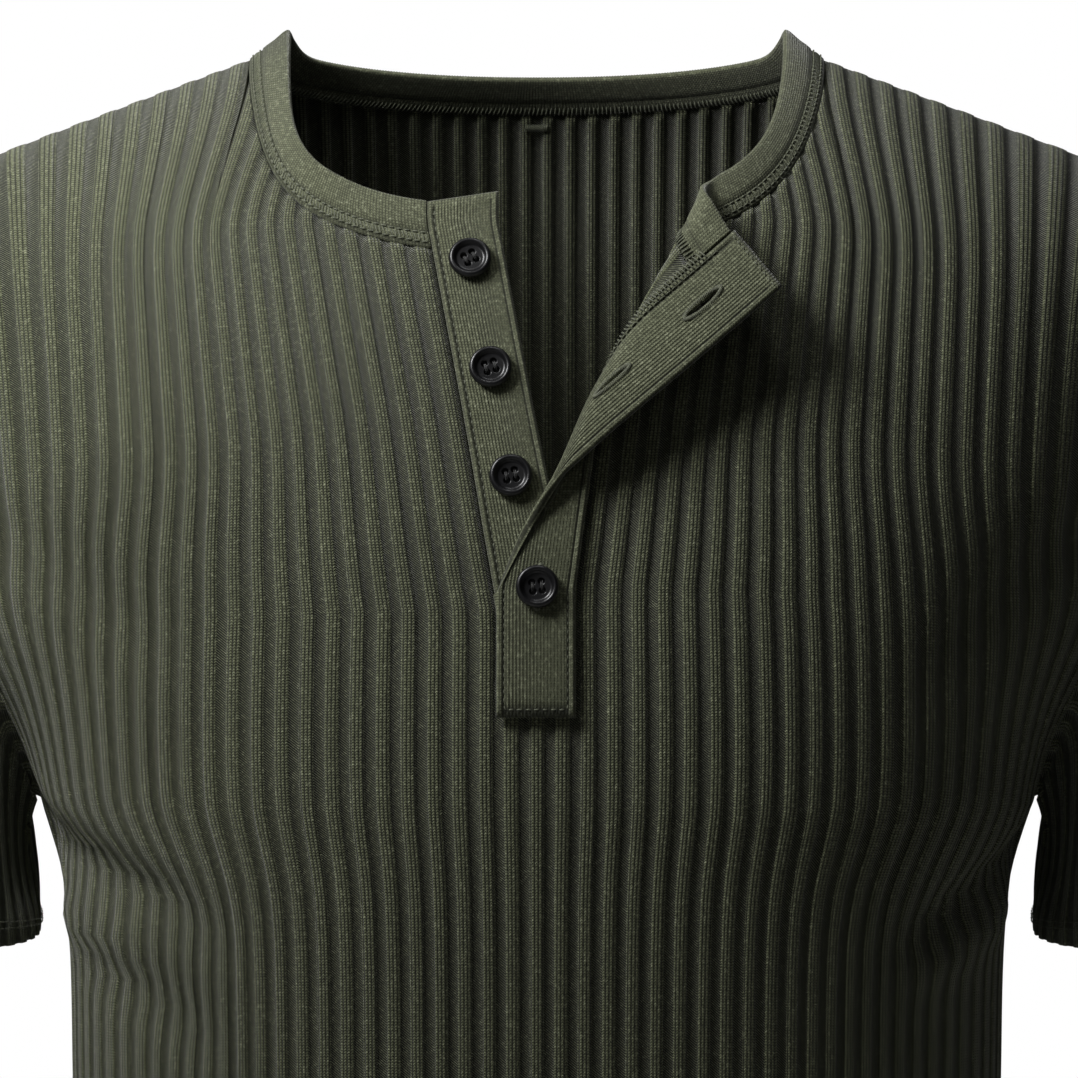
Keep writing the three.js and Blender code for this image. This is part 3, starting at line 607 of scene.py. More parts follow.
@dataclass(frozen=True)
class WideRibKnit:
    """Wide rib knit: raised ribs of three or four plain wales, slanted stitches in the grooves."""

    yarn: KnitYarn = KnitYarn(light="#7a7f5f", painted_hole_shade="#080905", fleck="#a6aa8c")
    wale: float = 1.24
    course: float = 0.92
    slant: float = 0.82
    relief: float = 0.44

    def build(self) -> bpy.types.Material:
        """The material, which reads the attribute rise, 1 on the ribs and 0 in the grooves; the groove
        pattern peaks lower than the ribs, so the grooves get painted shade.
        """
        material, tree = new_material("wide_rib_knit_cotton")
        across, along = flat_place(tree)
        rise = add_node(tree, "ShaderNodeAttribute", attribute_name="rise").outputs["Fac"]
        ribs = plait(tree, across, along, self.wale, self.course)
        slope = maths(tree, "MULTIPLY_ADD", along, 1 / self.slant, maths(tree, "MULTIPLY", across, 0.95))
        groove = maths(tree, "MULTIPLY", maths(tree, "POWER", wave(tree, slope), 2.0), 0.7)
        step = maths(tree, "MULTIPLY", maths(tree, "SUBTRACT", rise, 0.25), 2.5, clamp=True)
        # Lower height here gives a darker colour in the yarn shader: painted shade in the grooves and
        # between the wales.
        height = add_node(tree, "ShaderNodeMix", {0: step, 2: groove, 3: ribs}).outputs[0]
        self.yarn.shader(tree, height, self.relief)
        return material


@dataclass(frozen=True)
class FineRibKnit:
    """Fine one by one rib of the neckband and plackets: thin wales side by side."""

    yarn: KnitYarn = KnitYarn(light="#6d7157", painted_hole_shade="#0f110a", fleck="#959980")
    wale: float = 1.1
    course: float = 0.85
    relief: float = 0.26

    def build(self) -> bpy.types.Material:
        """The material, which reads the attribute rise, 0 where a row of stitches draws the cloth down;
        there it flattens the knit bump and darkens the colour as painted shade.
        """
        material, tree = new_material("fine_rib_knit_cotton")
        across, along = flat_place(tree)
        rise = add_node(tree, "ShaderNodeAttribute", attribute_name="rise").outputs["Fac"]
        height = plait(tree, across, along, self.wale, self.course)
        # Multiplying by rise darkens the colour along stitch rows: painted shade.
        height = maths(tree, "MULTIPLY", maths(tree, "MULTIPLY_ADD", height, 0.75, 0.25), rise)
        self.yarn.shader(tree, height, self.relief)
        return material


@dataclass(frozen=True)
class SpunThread:
    """Spun polyester sewing thread: twisted, a little glossier than the cloth."""

    colour: str = "#70745d"
    shade: str = "#33372a"

    def build(self) -> bpy.types.Material:
        """The material, with a fine twist and uneven tone."""
        material, tree = new_material("spun_polyester_thread")
        coords = add_node(tree, "ShaderNodeTexCoord").outputs["Object"]
        noise = add_node(tree, "ShaderNodeTexNoise", {"Vector": coords, "Scale": 1600.0}).outputs["Fac"]
        tone = blend_colour(tree, noise, srgb(self.shade), srgb(self.colour))
        bump = add_node(tree, "ShaderNodeBump", {"Height": noise, "Distance": 0.1 * METRES}).outputs[0]
        surface = {"Base Color": tone, "Normal": bump, "Roughness": 0.62, "Sheen Weight": 0.2}
        shaded = add_node(tree, "ShaderNodeBsdfPrincipled", surface).outputs[0]
        add_node(tree, "ShaderNodeOutputMaterial", {0: shaded})
        return material


@dataclass(frozen=True)
class TurnedResin:
    """Turned polyester resin of the buttons: near black, satin, with faint turning marks."""

    colour: str = "#0b0b0c"
    bloom: str = "#161618"

    def build(self) -> bpy.types.Material:
        """The material, with a soft cloudiness and fine scratches."""
        material, tree = new_material("turned_polyester_resin")
        coords = add_node(tree, "ShaderNodeTexCoord").outputs["Object"]
        cloud = add_node(tree, "ShaderNodeTexNoise", {"Vector": coords, "Scale": 260.0}).outputs["Fac"]
        fine = add_node(tree, "ShaderNodeTexNoise", {"Vector": coords, "Scale": 2400.0}).outputs["Fac"]
        tone = blend_colour(tree, cloud, srgb(self.colour), srgb(self.bloom))
        rough = maths(tree, "MULTIPLY_ADD", fine, 0.2, 0.24)
        bump = add_node(tree, "ShaderNodeBump", {"Height": fine, "Distance": 0.02 * METRES}).outputs[0]
        surface = {"Base Color": tone, "Roughness": rough, "Normal": bump}
        shaded = add_node(tree, "ShaderNodeBsdfPrincipled", surface).outputs[0]
        add_node(tree, "ShaderNodeOutputMaterial", {0: shaded})
        return material


def make_object(name: str, points: Array, faces: Array, uvs: Array | None, rise: Array | None):
    """Puts points and four-cornered faces into a mesh object, facing outwards.

    Args:
        name: name of the piece.
        points: corners in millimetres, one row each.
        faces: corner numbers, four to a row.
        uvs: flat place of each corner of each face, or None.
        rise: one value a corner for the attribute rise, or None.

    Returns:
        The object, linked to the scene.
    """
    a, b, c, d = (points[faces[:, i]] for i in range(4))
    volume = np.sum(np.einsum("ij,ij->i", a, np.cross(b, c)) + np.einsum("ij,ij->i", a, np.cross(c, d)))
    if volume < 0:
        faces = faces[:, ::-1]
        uvs = None if uvs is None else uvs[:, ::-1]
    mesh = bpy.data.meshes.new(name)
    mesh.vertices.add(len(points))
    mesh.vertices.foreach_set("co", (points * METRES).astype(np.float32).ravel())
    mesh.loops.add(faces.size)
    mesh.loops.foreach_set("vertex_index", faces.astype(np.int32).ravel())
    mesh.polygons.add(len(faces))
    mesh.polygons.foreach_set("loop_start", np.arange(0, faces.size, 4, dtype=np.int32))
    mesh.update(calc_edges=True)
    if uvs is not None:
        layer = mesh.uv_layers.new(name="cloth")
        layer.data.foreach_set("uv", uvs.astype(np.float32).ravel())
    if rise is not None:
        values = mesh.attributes.new("rise", "FLOAT", "POINT")
        values.data.foreach_set("value", rise.astype(np.float32).ravel())
    tidy = bmesh.new()
    tidy.from_mesh(mesh)
    bmesh.ops.remove_doubles(tidy, verts=tidy.verts, dist=2e-6)
    bmesh.ops.delete(tidy, geom=[v for v in tidy.verts if not v.link_faces], context="VERTS")
    tidy.to_mesh(mesh)
    tidy.free()
    mesh.polygons.foreach_set("use_smooth", np.ones(len(mesh.polygons), dtype=bool))
    made = bpy.data.objects.new(name, mesh)
    bpy.context.scene.collection.objects.link(made)
    return made


def grid_faces(ids: Array, keep: Array) -> Array:
    """Faces of a grid of corner numbers, where kept."""
    quads = np.stack([ids[:-1, :-1], ids[1:, :-1], ids[1:, 1:], ids[:-1, 1:]], axis=-1)
    return quads[keep]


def shell(
    name: str,
    outer: Array,
    inner: Array,
    place: Array,
    rise: Array,
    keep: Array,
    ring: bool = False,
    reversed_ribs: bool = True,
) -> bpy.types.Object:
    """A closed thin shell between two grids of points.

    Formula: the outer grid, the inner grid turned round, and a rim along every edge that only one
    outer face has.

    Args:
        name: name of the piece.
        outer: outer points, columns by rows by 3.
        inner: inner points, the same shape.
        place: flat place in millimetres, columns by rows by 2.
        rise: rib height from 0 to 1, columns by rows; the neckband and plackets pass instead a share that is
            low along stitch rows, which flattens the knit bump and paints shade there.
        keep: which cells of the grid have cloth.
        ring: whether the last column is the first one again.
        reversed_ribs: whether the inside shows a rib where the outside has a groove.

    Returns:
        The object.
    """
    count = outer.shape[0] * outer.shape[1]
    corners = np.arange(count).reshape(outer.shape[:2])
    ids = corners.copy()
    if ring:
        ids[-1] = ids[0]
    front, front_uv = grid_faces(ids, keep), grid_faces(corners, keep)
    start, end = front.ravel(), np.roll(front, -1, axis=1).ravel()
    single = ~np.isin(start * count + end, end * count + start) & (start != end)
    a, b = start[single], end[single]
    rim = np.stack([b, a, a + count, b + count], axis=-1)
    faces = np.concatenate([front, front[:, ::-1] + count, rim])
    flat = np.concatenate([place.reshape(-1, 2)] * 2)
    uv_ids = np.concatenate([front_uv, front_uv[:, ::-1] + count, rim])
    points = np.concatenate([outer.reshape(-1, 3), inner.reshape(-1, 3)])
    heights = np.concatenate([rise.ravel(), 1.0 - rise.ravel() if reversed_ribs else rise.ravel()])
    return make_object(name, points, faces, flat[uv_ids], heights)


RIB_SECTION = ((-2.5, 0.0), (-2.05, 0.8), (-1.0, 1.0), (1.0, 1.0), (2.05, 0.8), (2.5, 0.0))


def rib_columns(ribs: int, pitch: float, extra: Sequence[float]) -> tuple[Array, Array]:
    """Columns of corners across ribs, with the rib's height at each.

    Args:
        ribs: number of ribs, centred on 0.
        pitch: distance between ribs.
        extra: further places on the flat grooves.

    Returns:
        Places and heights from 0 to 1.
    """
    centres = (np.arange(ribs) - (ribs - 1) / 2) * pitch
    section = np.array(RIB_SECTION)
    places = (centres[:, None] + section[None, :, 0]).ravel()
    heights = np.tile(section[:, 1], ribs)
    places = np.concatenate([places, extra])
    heights = np.concatenate([heights, np.zeros(len(extra))])
    order = np.argsort(places, kind="stable")
    return places[order], heights[order]


@dataclass
class Dresser:
    finishes: dict

    def dress(self, piece: bpy.types.Object, finish: str, slot: str, nodes: Sequence[str] = ()) -> None:
        """Gives a piece its material and its body, and hides the nodes that it stands for."""
        piece.data.materials.clear()
        piece.data.materials.append(self.finishes[finish])
        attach(piece, "root")
        if nodes:
            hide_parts(*nodes)
        LOG.info("%s: %d faces", piece.name, len(piece.data.polygons))


@dataclass
class BodyPanel:
    """Front or back of the shirt, cut along the ribs from hem to shoulder."""

    side: Side
    node: str
    groove_wall: float = 1.25
    rib_wall: float = 2.1
    sheet: float = 0.95
    trunk_rows: int = 74
    middle_rows: int = 10
    yoke_rows: int = 26
    slide: float = 9.0
    slide_place: float = 150.0
    slide_width: float = 46.0
    edge_run: float = 14.0
    turned_half: float = 45.0
    hem_turn_up: float = 54.0
    front_area: float = 0.275
    back_area: float = 0.287

    def levels(self, u: Array) -> tuple[Array, Array]:
        """Level of every row on every column, and the rows' band: trunk, middle or yoke."""
        top = FORM.top_level(self.side, u)
        corner = np.minimum(FORM.level_of(FORM.armhole_corner), top)
        waist = np.minimum(FORM.level_at(u, np.full_like(u, FORM.slot_foot_z)), 0.6 * top)
        waist = np.where(np.abs(u) > FORM.tip_rib, waist, FORM.level_at(u, FORM.slot_foot_z))
        spans = [
            (np.full_like(u, -1.0), waist, self.trunk_rows),
            (waist, corner, self.middle_rows),
            (corner, top, self.yoke_rows),
        ]
        parts, bands = [], []
        for number, (low, high, rows) in enumerate(spans):
            share = np.linspace(0.0, 1.0, rows + 1)[(1 if number else 0) :]
            parts.append(low[:, None] + (high - low)[:, None] * share[None, :])
            bands += [number] * rows
        return np.concatenate(parts, axis=1), np.array(bands)

    def ribs_shift(self, u: Array, z: Array) -> Array:
        """How far the ribs slide towards the middle below the underarm, where the side is drawn in."""
        drawn = smooth((-238.0 - z) / 52.0) * (1.0 - smooth((-330.0 - z) / 120.0))
        return -np.sign(u) * self.slide * drawn * bell(np.abs(u) - self.slide_place, self.slide_width)

    def build(self) -> bpy.types.Object:
        """The panel: rib columns raised on the form, with its creases, over an even thin wall."""
        front = self.side is Side.FRONT
        marks = [FORM.panel_half, FORM.tip_rib, FORM.neck_rib] + ([FORM.slot_half] if front else [])
        extra = [sign * mark for mark in marks for sign in (-1.0, 1.0)]
        u, rise = rib_columns(FORM.panel_ribs, FORM.rib_pitch, extra)
        level, bands = self.levels(u)
        grid_u = np.broadcast_to(u[:, None], level.shape)
        plain = FORM.body_point(self.side, grid_u, level)
        z = plain[..., 2]
        shifted = np.clip(grid_u + self.ribs_shift(grid_u, z), -FORM.panel_half, FORM.panel_half)
        base = FORM.body_point(self.side, shifted, level)
        normal = FORM.body_normal(self.side, shifted, level)
        fold = sum(crease.at(grid_u, z) for crease in CREASES if crease.side is self.side)
        edge = smooth((FORM.panel_half - np.abs(grid_u)) / self.edge_run)
        grid_rise = np.broadcast_to(rise[:, None], level.shape)
        pressed = smooth((1.0 - level) / 0.07)
        wall = self.groove_wall + (self.rib_wall - self.groove_wall) * grid_rise * pressed

        def place(lift: Array) -> Array:
            """Points of one face, on the rolled front where the panel is turned over."""
            points = base + normal * (lift + fold * edge)[..., None]
            if not front:
                return points
            turned = (grid_u > 0) & (level > 0) & (grid_u < self.turned_half)
            rolled = FORM.front_point(grid_u, z_flat, lift, Lap.ROLLED)
            return np.where(turned[..., None], rolled, points)

        height = FORM.height_of(level)
        z_flat = FORM.underarm_z + height * (FORM.ridge(FORM.sideways(grid_u, height)) - FORM.underarm_z)
        outer, inner = place(wall), place(wall - self.sheet)
        steps = np.linalg.norm(np.diff(outer, axis=1), axis=-1)
        along = np.concatenate([np.zeros((len(u), 1)), np.cumsum(steps, axis=1)], axis=1)
        middle = np.abs(u[:-1] + u[1:]) / 2
        keep = np.ones((len(u) - 1, len(bands)), dtype=bool)
        if front:
            keep &= ~((middle < FORM.slot_half)[:, None] & (bands > 0)[None, :])
        keep &= ~((middle > FORM.tip_rib)[:, None] & (bands > 1)[None, :])
        return shell(self.node + "_cloth", outer, inner, np.stack([grid_u, along], -1), grid_rise, keep)

    def dress(self, piece: bpy.types.Object, dresser: Dresser) -> None:
        """Finish of the panel."""
        dresser.dress(piece, "rib", "rib_knit", [self.node])


@dataclass
class Sleeve:
    """Short set-in sleeve, a tube from the armhole down to a level hem round the upper arm."""

    mirror: bool
    node: str
    ribs: int = 43
    hem: tuple = (217.0, 3.0, -284.0)
    across: float = 50.0
    deep: float = 60.0
    axis_lean: float = math.radians(9)
    groove_wall: float = 1.25
    rib_wall: float = 2.1
    sheet: float = 0.95
    rows: int = 46
    gap: float = 0.25
    cap_run: float = 150.0
    underarm_leave: float = 58.0
    flat: tuple = (0.344, 0.235)
    area: float = 0.07

    hem_out = np.array([0.996, 0.0, 0.087])
    hem_back = np.array([0.0, 0.993, 0.12])

    @property
    def axis(self) -> Array:
        """Direction of the arm, down and a little outwards."""
        return np.array([math.sin(self.axis_lean), 0.0, -math.cos(self.axis_lean)])

    def armhole(self) -> dict[str, Array]:
        """The panels' armhole edge as a loop, from the underarm up the front and down the back."""
        low_u = np.linspace(FORM.panel_half, FORM.tip_rib, 22)
        low = np.stack([low_u, FORM.armhole_level(low_u)], axis=-1)[:-1]
        corner = float(FORM.level_of(FORM.armhole_corner))
        up_level = np.linspace(corner, 1.0, 26)
        up = np.stack([np.full(26, FORM.tip_rib), up_level], axis=-1)
        edge = np.concatenate([low, up])

        def side(which: Side) -> tuple[Array, Array]:
            """Points and normals of one panel's edge."""
            return (
                FORM.body_point(which, edge[:, 0], edge[:, 1]),
                FORM.body_normal(which, edge[:, 0], edge[:, 1]),
            )

        (front, front_n), (back, back_n) = side(Side.FRONT), side(Side.BACK)
        inner = np.concatenate([front, back[-2:0:-1]])
        normal = np.concatenate([front_n, back_n[-2:0:-1]])
        run = unit(np.roll(inner, -1, axis=0) - np.roll(inner, 1, axis=0))
        away = unit(np.cross(run, normal))
        plane = unit(np.cross(self.hem_out, self.hem_back))
        hem = np.array(self.hem)
        travel = (hem - inner) @ plane / (self.axis @ plane)
        flat = inner + travel[:, None] * self.axis - hem
        angle = np.arctan2(flat @ self.hem_back / self.deep, flat @ self.hem_out / self.across)
        turned = np.unwrap(angle)
        sense = np.sign(turned[-1] - turned[0])
        way = np.maximum.accumulate(sense * (turned - turned[0]) / (2 * math.pi))
        return {"inner": inner, "away": away, "way": way, "start": turned[0], "sense": sense}

    def surface(self, loop: dict[str, Array]) -> Surface:
        """The sleeve's inner face as a function of share round, share down and lift."""

        def read(key: str, share: Array) -> Array:
            """A value of the armhole edge at a share of the way round."""
            ways = np.concatenate([loop["way"], [1.0]])
            values = np.concatenate([loop[key], loop[key][:1]])
            wrapped = np.mod(share, 1.0)
            return np.stack([np.interp(wrapped, ways, values[:, i]) for i in range(3)], axis=-1)

        def path(share: Array, down: Array) -> Array:
            """A cubic from the armhole edge, leaving square to it, to the hem ring, along the arm."""
            away = unit(read("away", share))
            angle = loop["start"] + loop["sense"] * share * 2 * math.pi
            end = np.array(self.hem) + self.hem_out * (self.across * np.cos(angle))[..., None]
            end = end + self.hem_back * (self.deep * np.sin(angle))[..., None]
            begin = read("inner", share) + away * self.gap
            cap = smooth((begin[..., 2] - FORM.underarm_z) / self.cap_run)
            length = np.linalg.norm(end - begin, axis=-1)
            crown = np.sin(math.pi * cap)
            leave = away * mix(1.0, 0.75, crown)[..., None]
            leave[..., 0] += mix(0.9, 0.0, cap) + 0.35 * crown
            leave = unit(leave) * mix(self.underarm_leave, 0.75 * length, cap)[..., None]
            arrive = self.axis * (0.9 * length)[..., None]
            t = down[..., None]
            t2, t3 = t * t, t * t * t
            return (
                begin * (2 * t3 - 3 * t2 + 1) + leave * (t3 - 2 * t2 + t)
                + end * (3 * t2 - 2 * t3) + arrive * (t3 - t2)
            )

        def place(share: Array, down: Array, lift: Array) -> Array:
            """Point moved out by lift, mirrored for the other arm."""
            share, down, lift = np.broadcast_arrays(share, down, lift)
            round_step = path(share + 0.004, down) - path(share - 0.004, down)
            down_step = path(share, np.minimum(down + 0.03, 1.0)) - path(share, np.maximum(down - 0.03, 0.0))
            normal = unit(np.cross(down_step, round_step)) * loop["sense"]
            points = path(share, down) + normal * (lift + self.folds(share, down))[..., None]
            if self.mirror:
                points = points * np.array([-1.0, 1.0, 1.0])
            return points

        return place

    def folds(self, share: Array, down: Array) -> Array:
        """Soft slanting folds from the armpit round the front and back of the sleeve."""
        waves = np.sin(2 * math.pi * (share * 3.0 + down * 0.8 + 0.1)) * 1.6
        waves = waves + np.sin(2 * math.pi * (share * 5.0 - down * 1.3 + 0.4)) * 0.9
        return waves * smooth(down / 0.25) * (1.0 - 0.5 * smooth((down - 0.8) / 0.2))

    def build(self) -> tuple[bpy.types.Object, Surface]:
        """The sleeve tube with its ribs, and its surface for the hem stitches."""
        surface = self.surface(self.armhole())
        section = np.array(RIB_SECTION)
        share = np.arange(self.ribs)[:, None] + 0.5 + section[None, :, 0] / FORM.rib_pitch
        share = share.ravel() / self.ribs
        rise = np.tile(section[:, 1], self.ribs)
        share, rise = np.append(share, share[0] + 1.0), np.append(rise, rise[0])
        down = np.linspace(0.0, 1.0, self.rows)
        grid_share, grid_down = np.meshgrid(share, down, indexing="ij")
        grid_rise = np.broadcast_to(rise[:, None], grid_share.shape)
        wall = self.groove_wall + (self.rib_wall - self.groove_wall) * grid_rise
        outer = surface(grid_share, grid_down, wall)
        inner = surface(grid_share, grid_down, wall - self.sheet)
        steps = np.linalg.norm(np.diff(outer, axis=1), axis=-1)
        along = np.concatenate([np.zeros((len(share), 1)), np.cumsum(steps, axis=1)], axis=1)
        place = np.stack([grid_share * self.ribs * FORM.rib_pitch, along], axis=-1)
        keep = np.ones((len(share) - 1, self.rows - 1), dtype=bool)
        piece = shell(self.node + "_cloth", outer, inner, place, grid_rise, keep, ring=True)
        return piece, surface

    def dress(self, piece: bpy.types.Object, dresser: Dresser) -> None:
        """Finish of the sleeve."""
        dresser.dress(piece, "rib", "rib_knit", [self.node])


@dataclass
class Neckband:
    """Folded band of fine rib round the neck, from one slot edge round the back to the other."""

    height: float = 16.0
    wall: float = 2.3
    front_lean: float = 66.0
    shoulder_lean: float = 31.0
    back_lean: float = 44.0
    centre_y: float = -12.0
    rib: float = 1.1
    reach: float = 10.0
    back_stand: float = 4.5

    def stations(self) -> dict[str, Array]:
        """The neckline, with the band's directions at each place along it."""

        def half_way(first: float, step: float, last_steps: int) -> Array:
            """Places out to the neck point, closer together as they come near it."""
            slowing = 90 + 10 * np.sin(np.linspace(0, math.pi / 2, last_steps))
            return np.concatenate([np.arange(first, 90.0, step), slowing])

        half = half_way(FORM.slot_half, 1.6, 14)
        back_half = half_way(0.0, 2.0, 12)
        back = np.concatenate([-back_half[::-1], back_half[1:]])
        runs = ((Side.FRONT, -half), (Side.BACK, back[1:-1]), (Side.FRONT, half[::-1]))
        parts = [self._run(side, u) for side, u in runs]
        joined = {key: np.concatenate([part[key] for part in parts]) for key in parts[0]}
        base = joined["base"]
        steps = np.linalg.norm(np.diff(base, axis=0), axis=-1)
        joined["way"] = np.concatenate([[0.0], np.cumsum(steps)])
        shoulders = joined["way"][np.abs(np.abs(joined["u"]) - FORM.neck_rib) < 0.01]
        near = np.abs(np.subtract.outer(joined["way"], shoulders)).min(axis=1)
        stand = self.back_stand * bell(near - 13.0, 9.0) * (joined["front"] < 0.5)
        raised = base + stand[:, None] * np.array([0.0, 0.0, 1.0])
        evened = self._even_out(joined["way"], raised)
        joined["round"] = evened + self._even_out(joined["way"], raised - evened)
        joined["rise"] = unit(self._even_out(joined["way"], joined["rise"]))
        run = unit(np.gradient(joined["round"], axis=0))
        out = unit(np.cross(run, joined["rise"]))
        flip = np.sign(np.einsum("ij,ij->i", out, joined["normal"]))
        joined["out"] = out * flip[:, None]
        lean = np.einsum("ij,ij->i", joined["rise"], joined["normal"])
        joined["seam_rise"] = unit(joined["rise"] - joined["normal"] * lean[:, None])
        return joined

    def _even_out(self, way: Array, values: Array) -> Array:
        """Values averaged over the reach on both sides, and over less close to the ends."""
        reach = np.minimum(self.reach, np.minimum(way, way[-1] - way))
        places = way[:, None] + reach[:, None] * np.linspace(-1.0, 1.0, 15)[None, :]
        return np.stack([np.interp(places, way, values[:, i]).mean(axis=1) for i in range(3)], axis=-1)

    def _run(self, side: Side, u: Array) -> dict[str, Array]:
        """Stations of one panel's neckline."""
        z = FORM.neck_height(side, u)
        if side is Side.FRONT:
            flat, rolled = (FORM.front_point(u, z, 0.0, lap) for lap in (Lap.FLAT, Lap.ROLLED))
            flat_up, rolled_up = (FORM.front_point(u, z, 1.0, lap) for lap in (Lap.FLAT, Lap.ROLLED))
            right = (u > 0)[:, None]
            base = np.where(right, rolled, flat)
            normal = unit(np.where(right, rolled_up, flat_up) - base)
        else:
            level = np.where(np.abs(u) > FORM.neck_rib - 0.01, 1.0, FORM.level_at(u, z))
            base = FORM.body_point(side, u, level)
            normal = FORM.body_normal(side, u, level)
        front = side is Side.FRONT
        drop = FORM.front_neck_drop if front else FORM.back_neck_drop
        full = self.front_lean if front else self.back_lean
        lean = np.radians(mix(self.shoulder_lean, full, smooth(np.abs(z) / drop)))
        inward = unit(np.stack([-base[:, 0], self.centre_y - base[:, 1], np.zeros(len(u))], axis=-1))
        rise = inward * np.cos(lean)[:, None]
        rise[:, 2] += np.sin(lean)
        own_front = np.full(len(u), 1.0 if front else 0.0)
        return {"u": u, "z": z, "base": base, "normal": normal, "rise": rise, "front": own_front}

    def surface(self) -> Surface:
        """The band as a function of distance round, distance up and lift off its inner face."""
        at = self.stations()

        def read(key: str, way: Array) -> Array:
            """A value of the stations at a distance round."""
            values = at[key]
            if values.ndim == 1:
                return np.interp(way, at["way"], values)
            return np.stack([np.interp(way, at["way"], values[:, i]) for i in range(3)], axis=-1)

        def place(way: Array, up: Array, lift: Array) -> Array:
            """Leans inwards from the seam, and lies on the front close to the slot."""
            way, up, lift = np.broadcast_arrays(*(np.asarray(a, float) for a in (way, up, lift)))
            turn = smooth(up / 4.0)[..., None]
            rounded = smooth(up / self.height)[..., None]
            seam = mix(read("base", way), read("round", way), rounded)
            seam = seam + read("seam_rise", way) * np.minimum(up, 0.6)[..., None]
            face = unit(mix(read("normal", way), read("out", way), turn))
            cone = seam + read("rise", way) * np.maximum(up - 0.6, 0.0)[..., None] + face * lift[..., None]
            u, z = read("u", way), read("z", way)
            on_flat = FORM.front_point(u, z + up, lift, Lap.FLAT)
            on_roll = FORM.front_point(u, z + up, lift, Lap.ROLLED)
            on_front = np.where((u > 0)[..., None], on_roll, on_flat)
            share = (1.0 - smooth((np.abs(u) - 34.0) / 30.0)) * (read("front", way) > 0.99)
            return mix(cone, on_front, share[..., None])

        return place

    def length(self) -> float:
        """Length of the neckline round the band."""
        return float(self.stations()["way"][-1])

    def build(self) -> tuple[bpy.types.Object, Surface]:
        """The band: fine ribs across it, round at its fold and drawn down at its seam."""
        surface = self.surface()
        count = int(self.length() / (self.rib / 2)) // 2 * 2 + 1
        way = np.linspace(0.0, self.length(), count)
        up = np.array([0.3, 1.2, 2.6, 4.0, 5.0, 5.6, 6.2, 8.0, 11.0, 14.0, 15.2, 15.8, 16.0])
        pull = np.array([0.5, 0.25, 0.35, 0.15, 0.2, 0.45, 0.15, 0.0, 0.0, 0.05, 0.2, 0.5, 0.9])
        grid_way, grid_up = np.meshgrid(way, up, indexing="ij")
        pull = np.broadcast_to(pull[None, :], grid_way.shape)
        rib = np.broadcast_to((np.arange(count) % 2)[:, None] * 0.28, grid_way.shape)
        rib = rib * smooth((grid_up - 5.0) / 1.5)
        outer = surface(grid_way, grid_up, self.wall - pull + rib)
        inner = surface(grid_way, grid_up, pull * 0.6 - rib * 0.6)
        keep = np.ones((count - 1, len(up) - 1), dtype=bool)
        place = np.stack([grid_way, grid_up], axis=-1)
        # Painted shade: the knit colour is darkened along the two stitch rows, where the cloth is pulled
        # down.
        drawn = 1.0 - 0.6 * bell(grid_up - 1.2, 0.8) - 0.45 * bell(grid_up - 5.6, 0.6)
        piece = shell("neckband_cloth", outer, inner, place, drawn, keep, reversed_ribs=False)
        return piece, surface

    def dress(self, piece: bpy.types.Object, dresser: Dresser) -> None:
        """Finish of the band."""
        dresser.dress(piece, "fine", "placket_knit", ["neckband"])
        self.length() * METRES


@dataclass(frozen=True)
class Buttonhole:
    """A worked slit along a placket strip, standing open or closed."""

    z: float
    half_length: float = 6.6
    half_open: float = 0.35

    def inside(self, u: Array, z: Array) -> Array:
        """Which places lie in the slit, a lens shape."""
        along = np.clip(np.abs(z - self.z) / self.half_length, 0.0, 1.0)
        return (np.abs(z - self.z) < self.half_length) & (np.abs(u) < self.half_open * (1 - along**2) + 0.02)


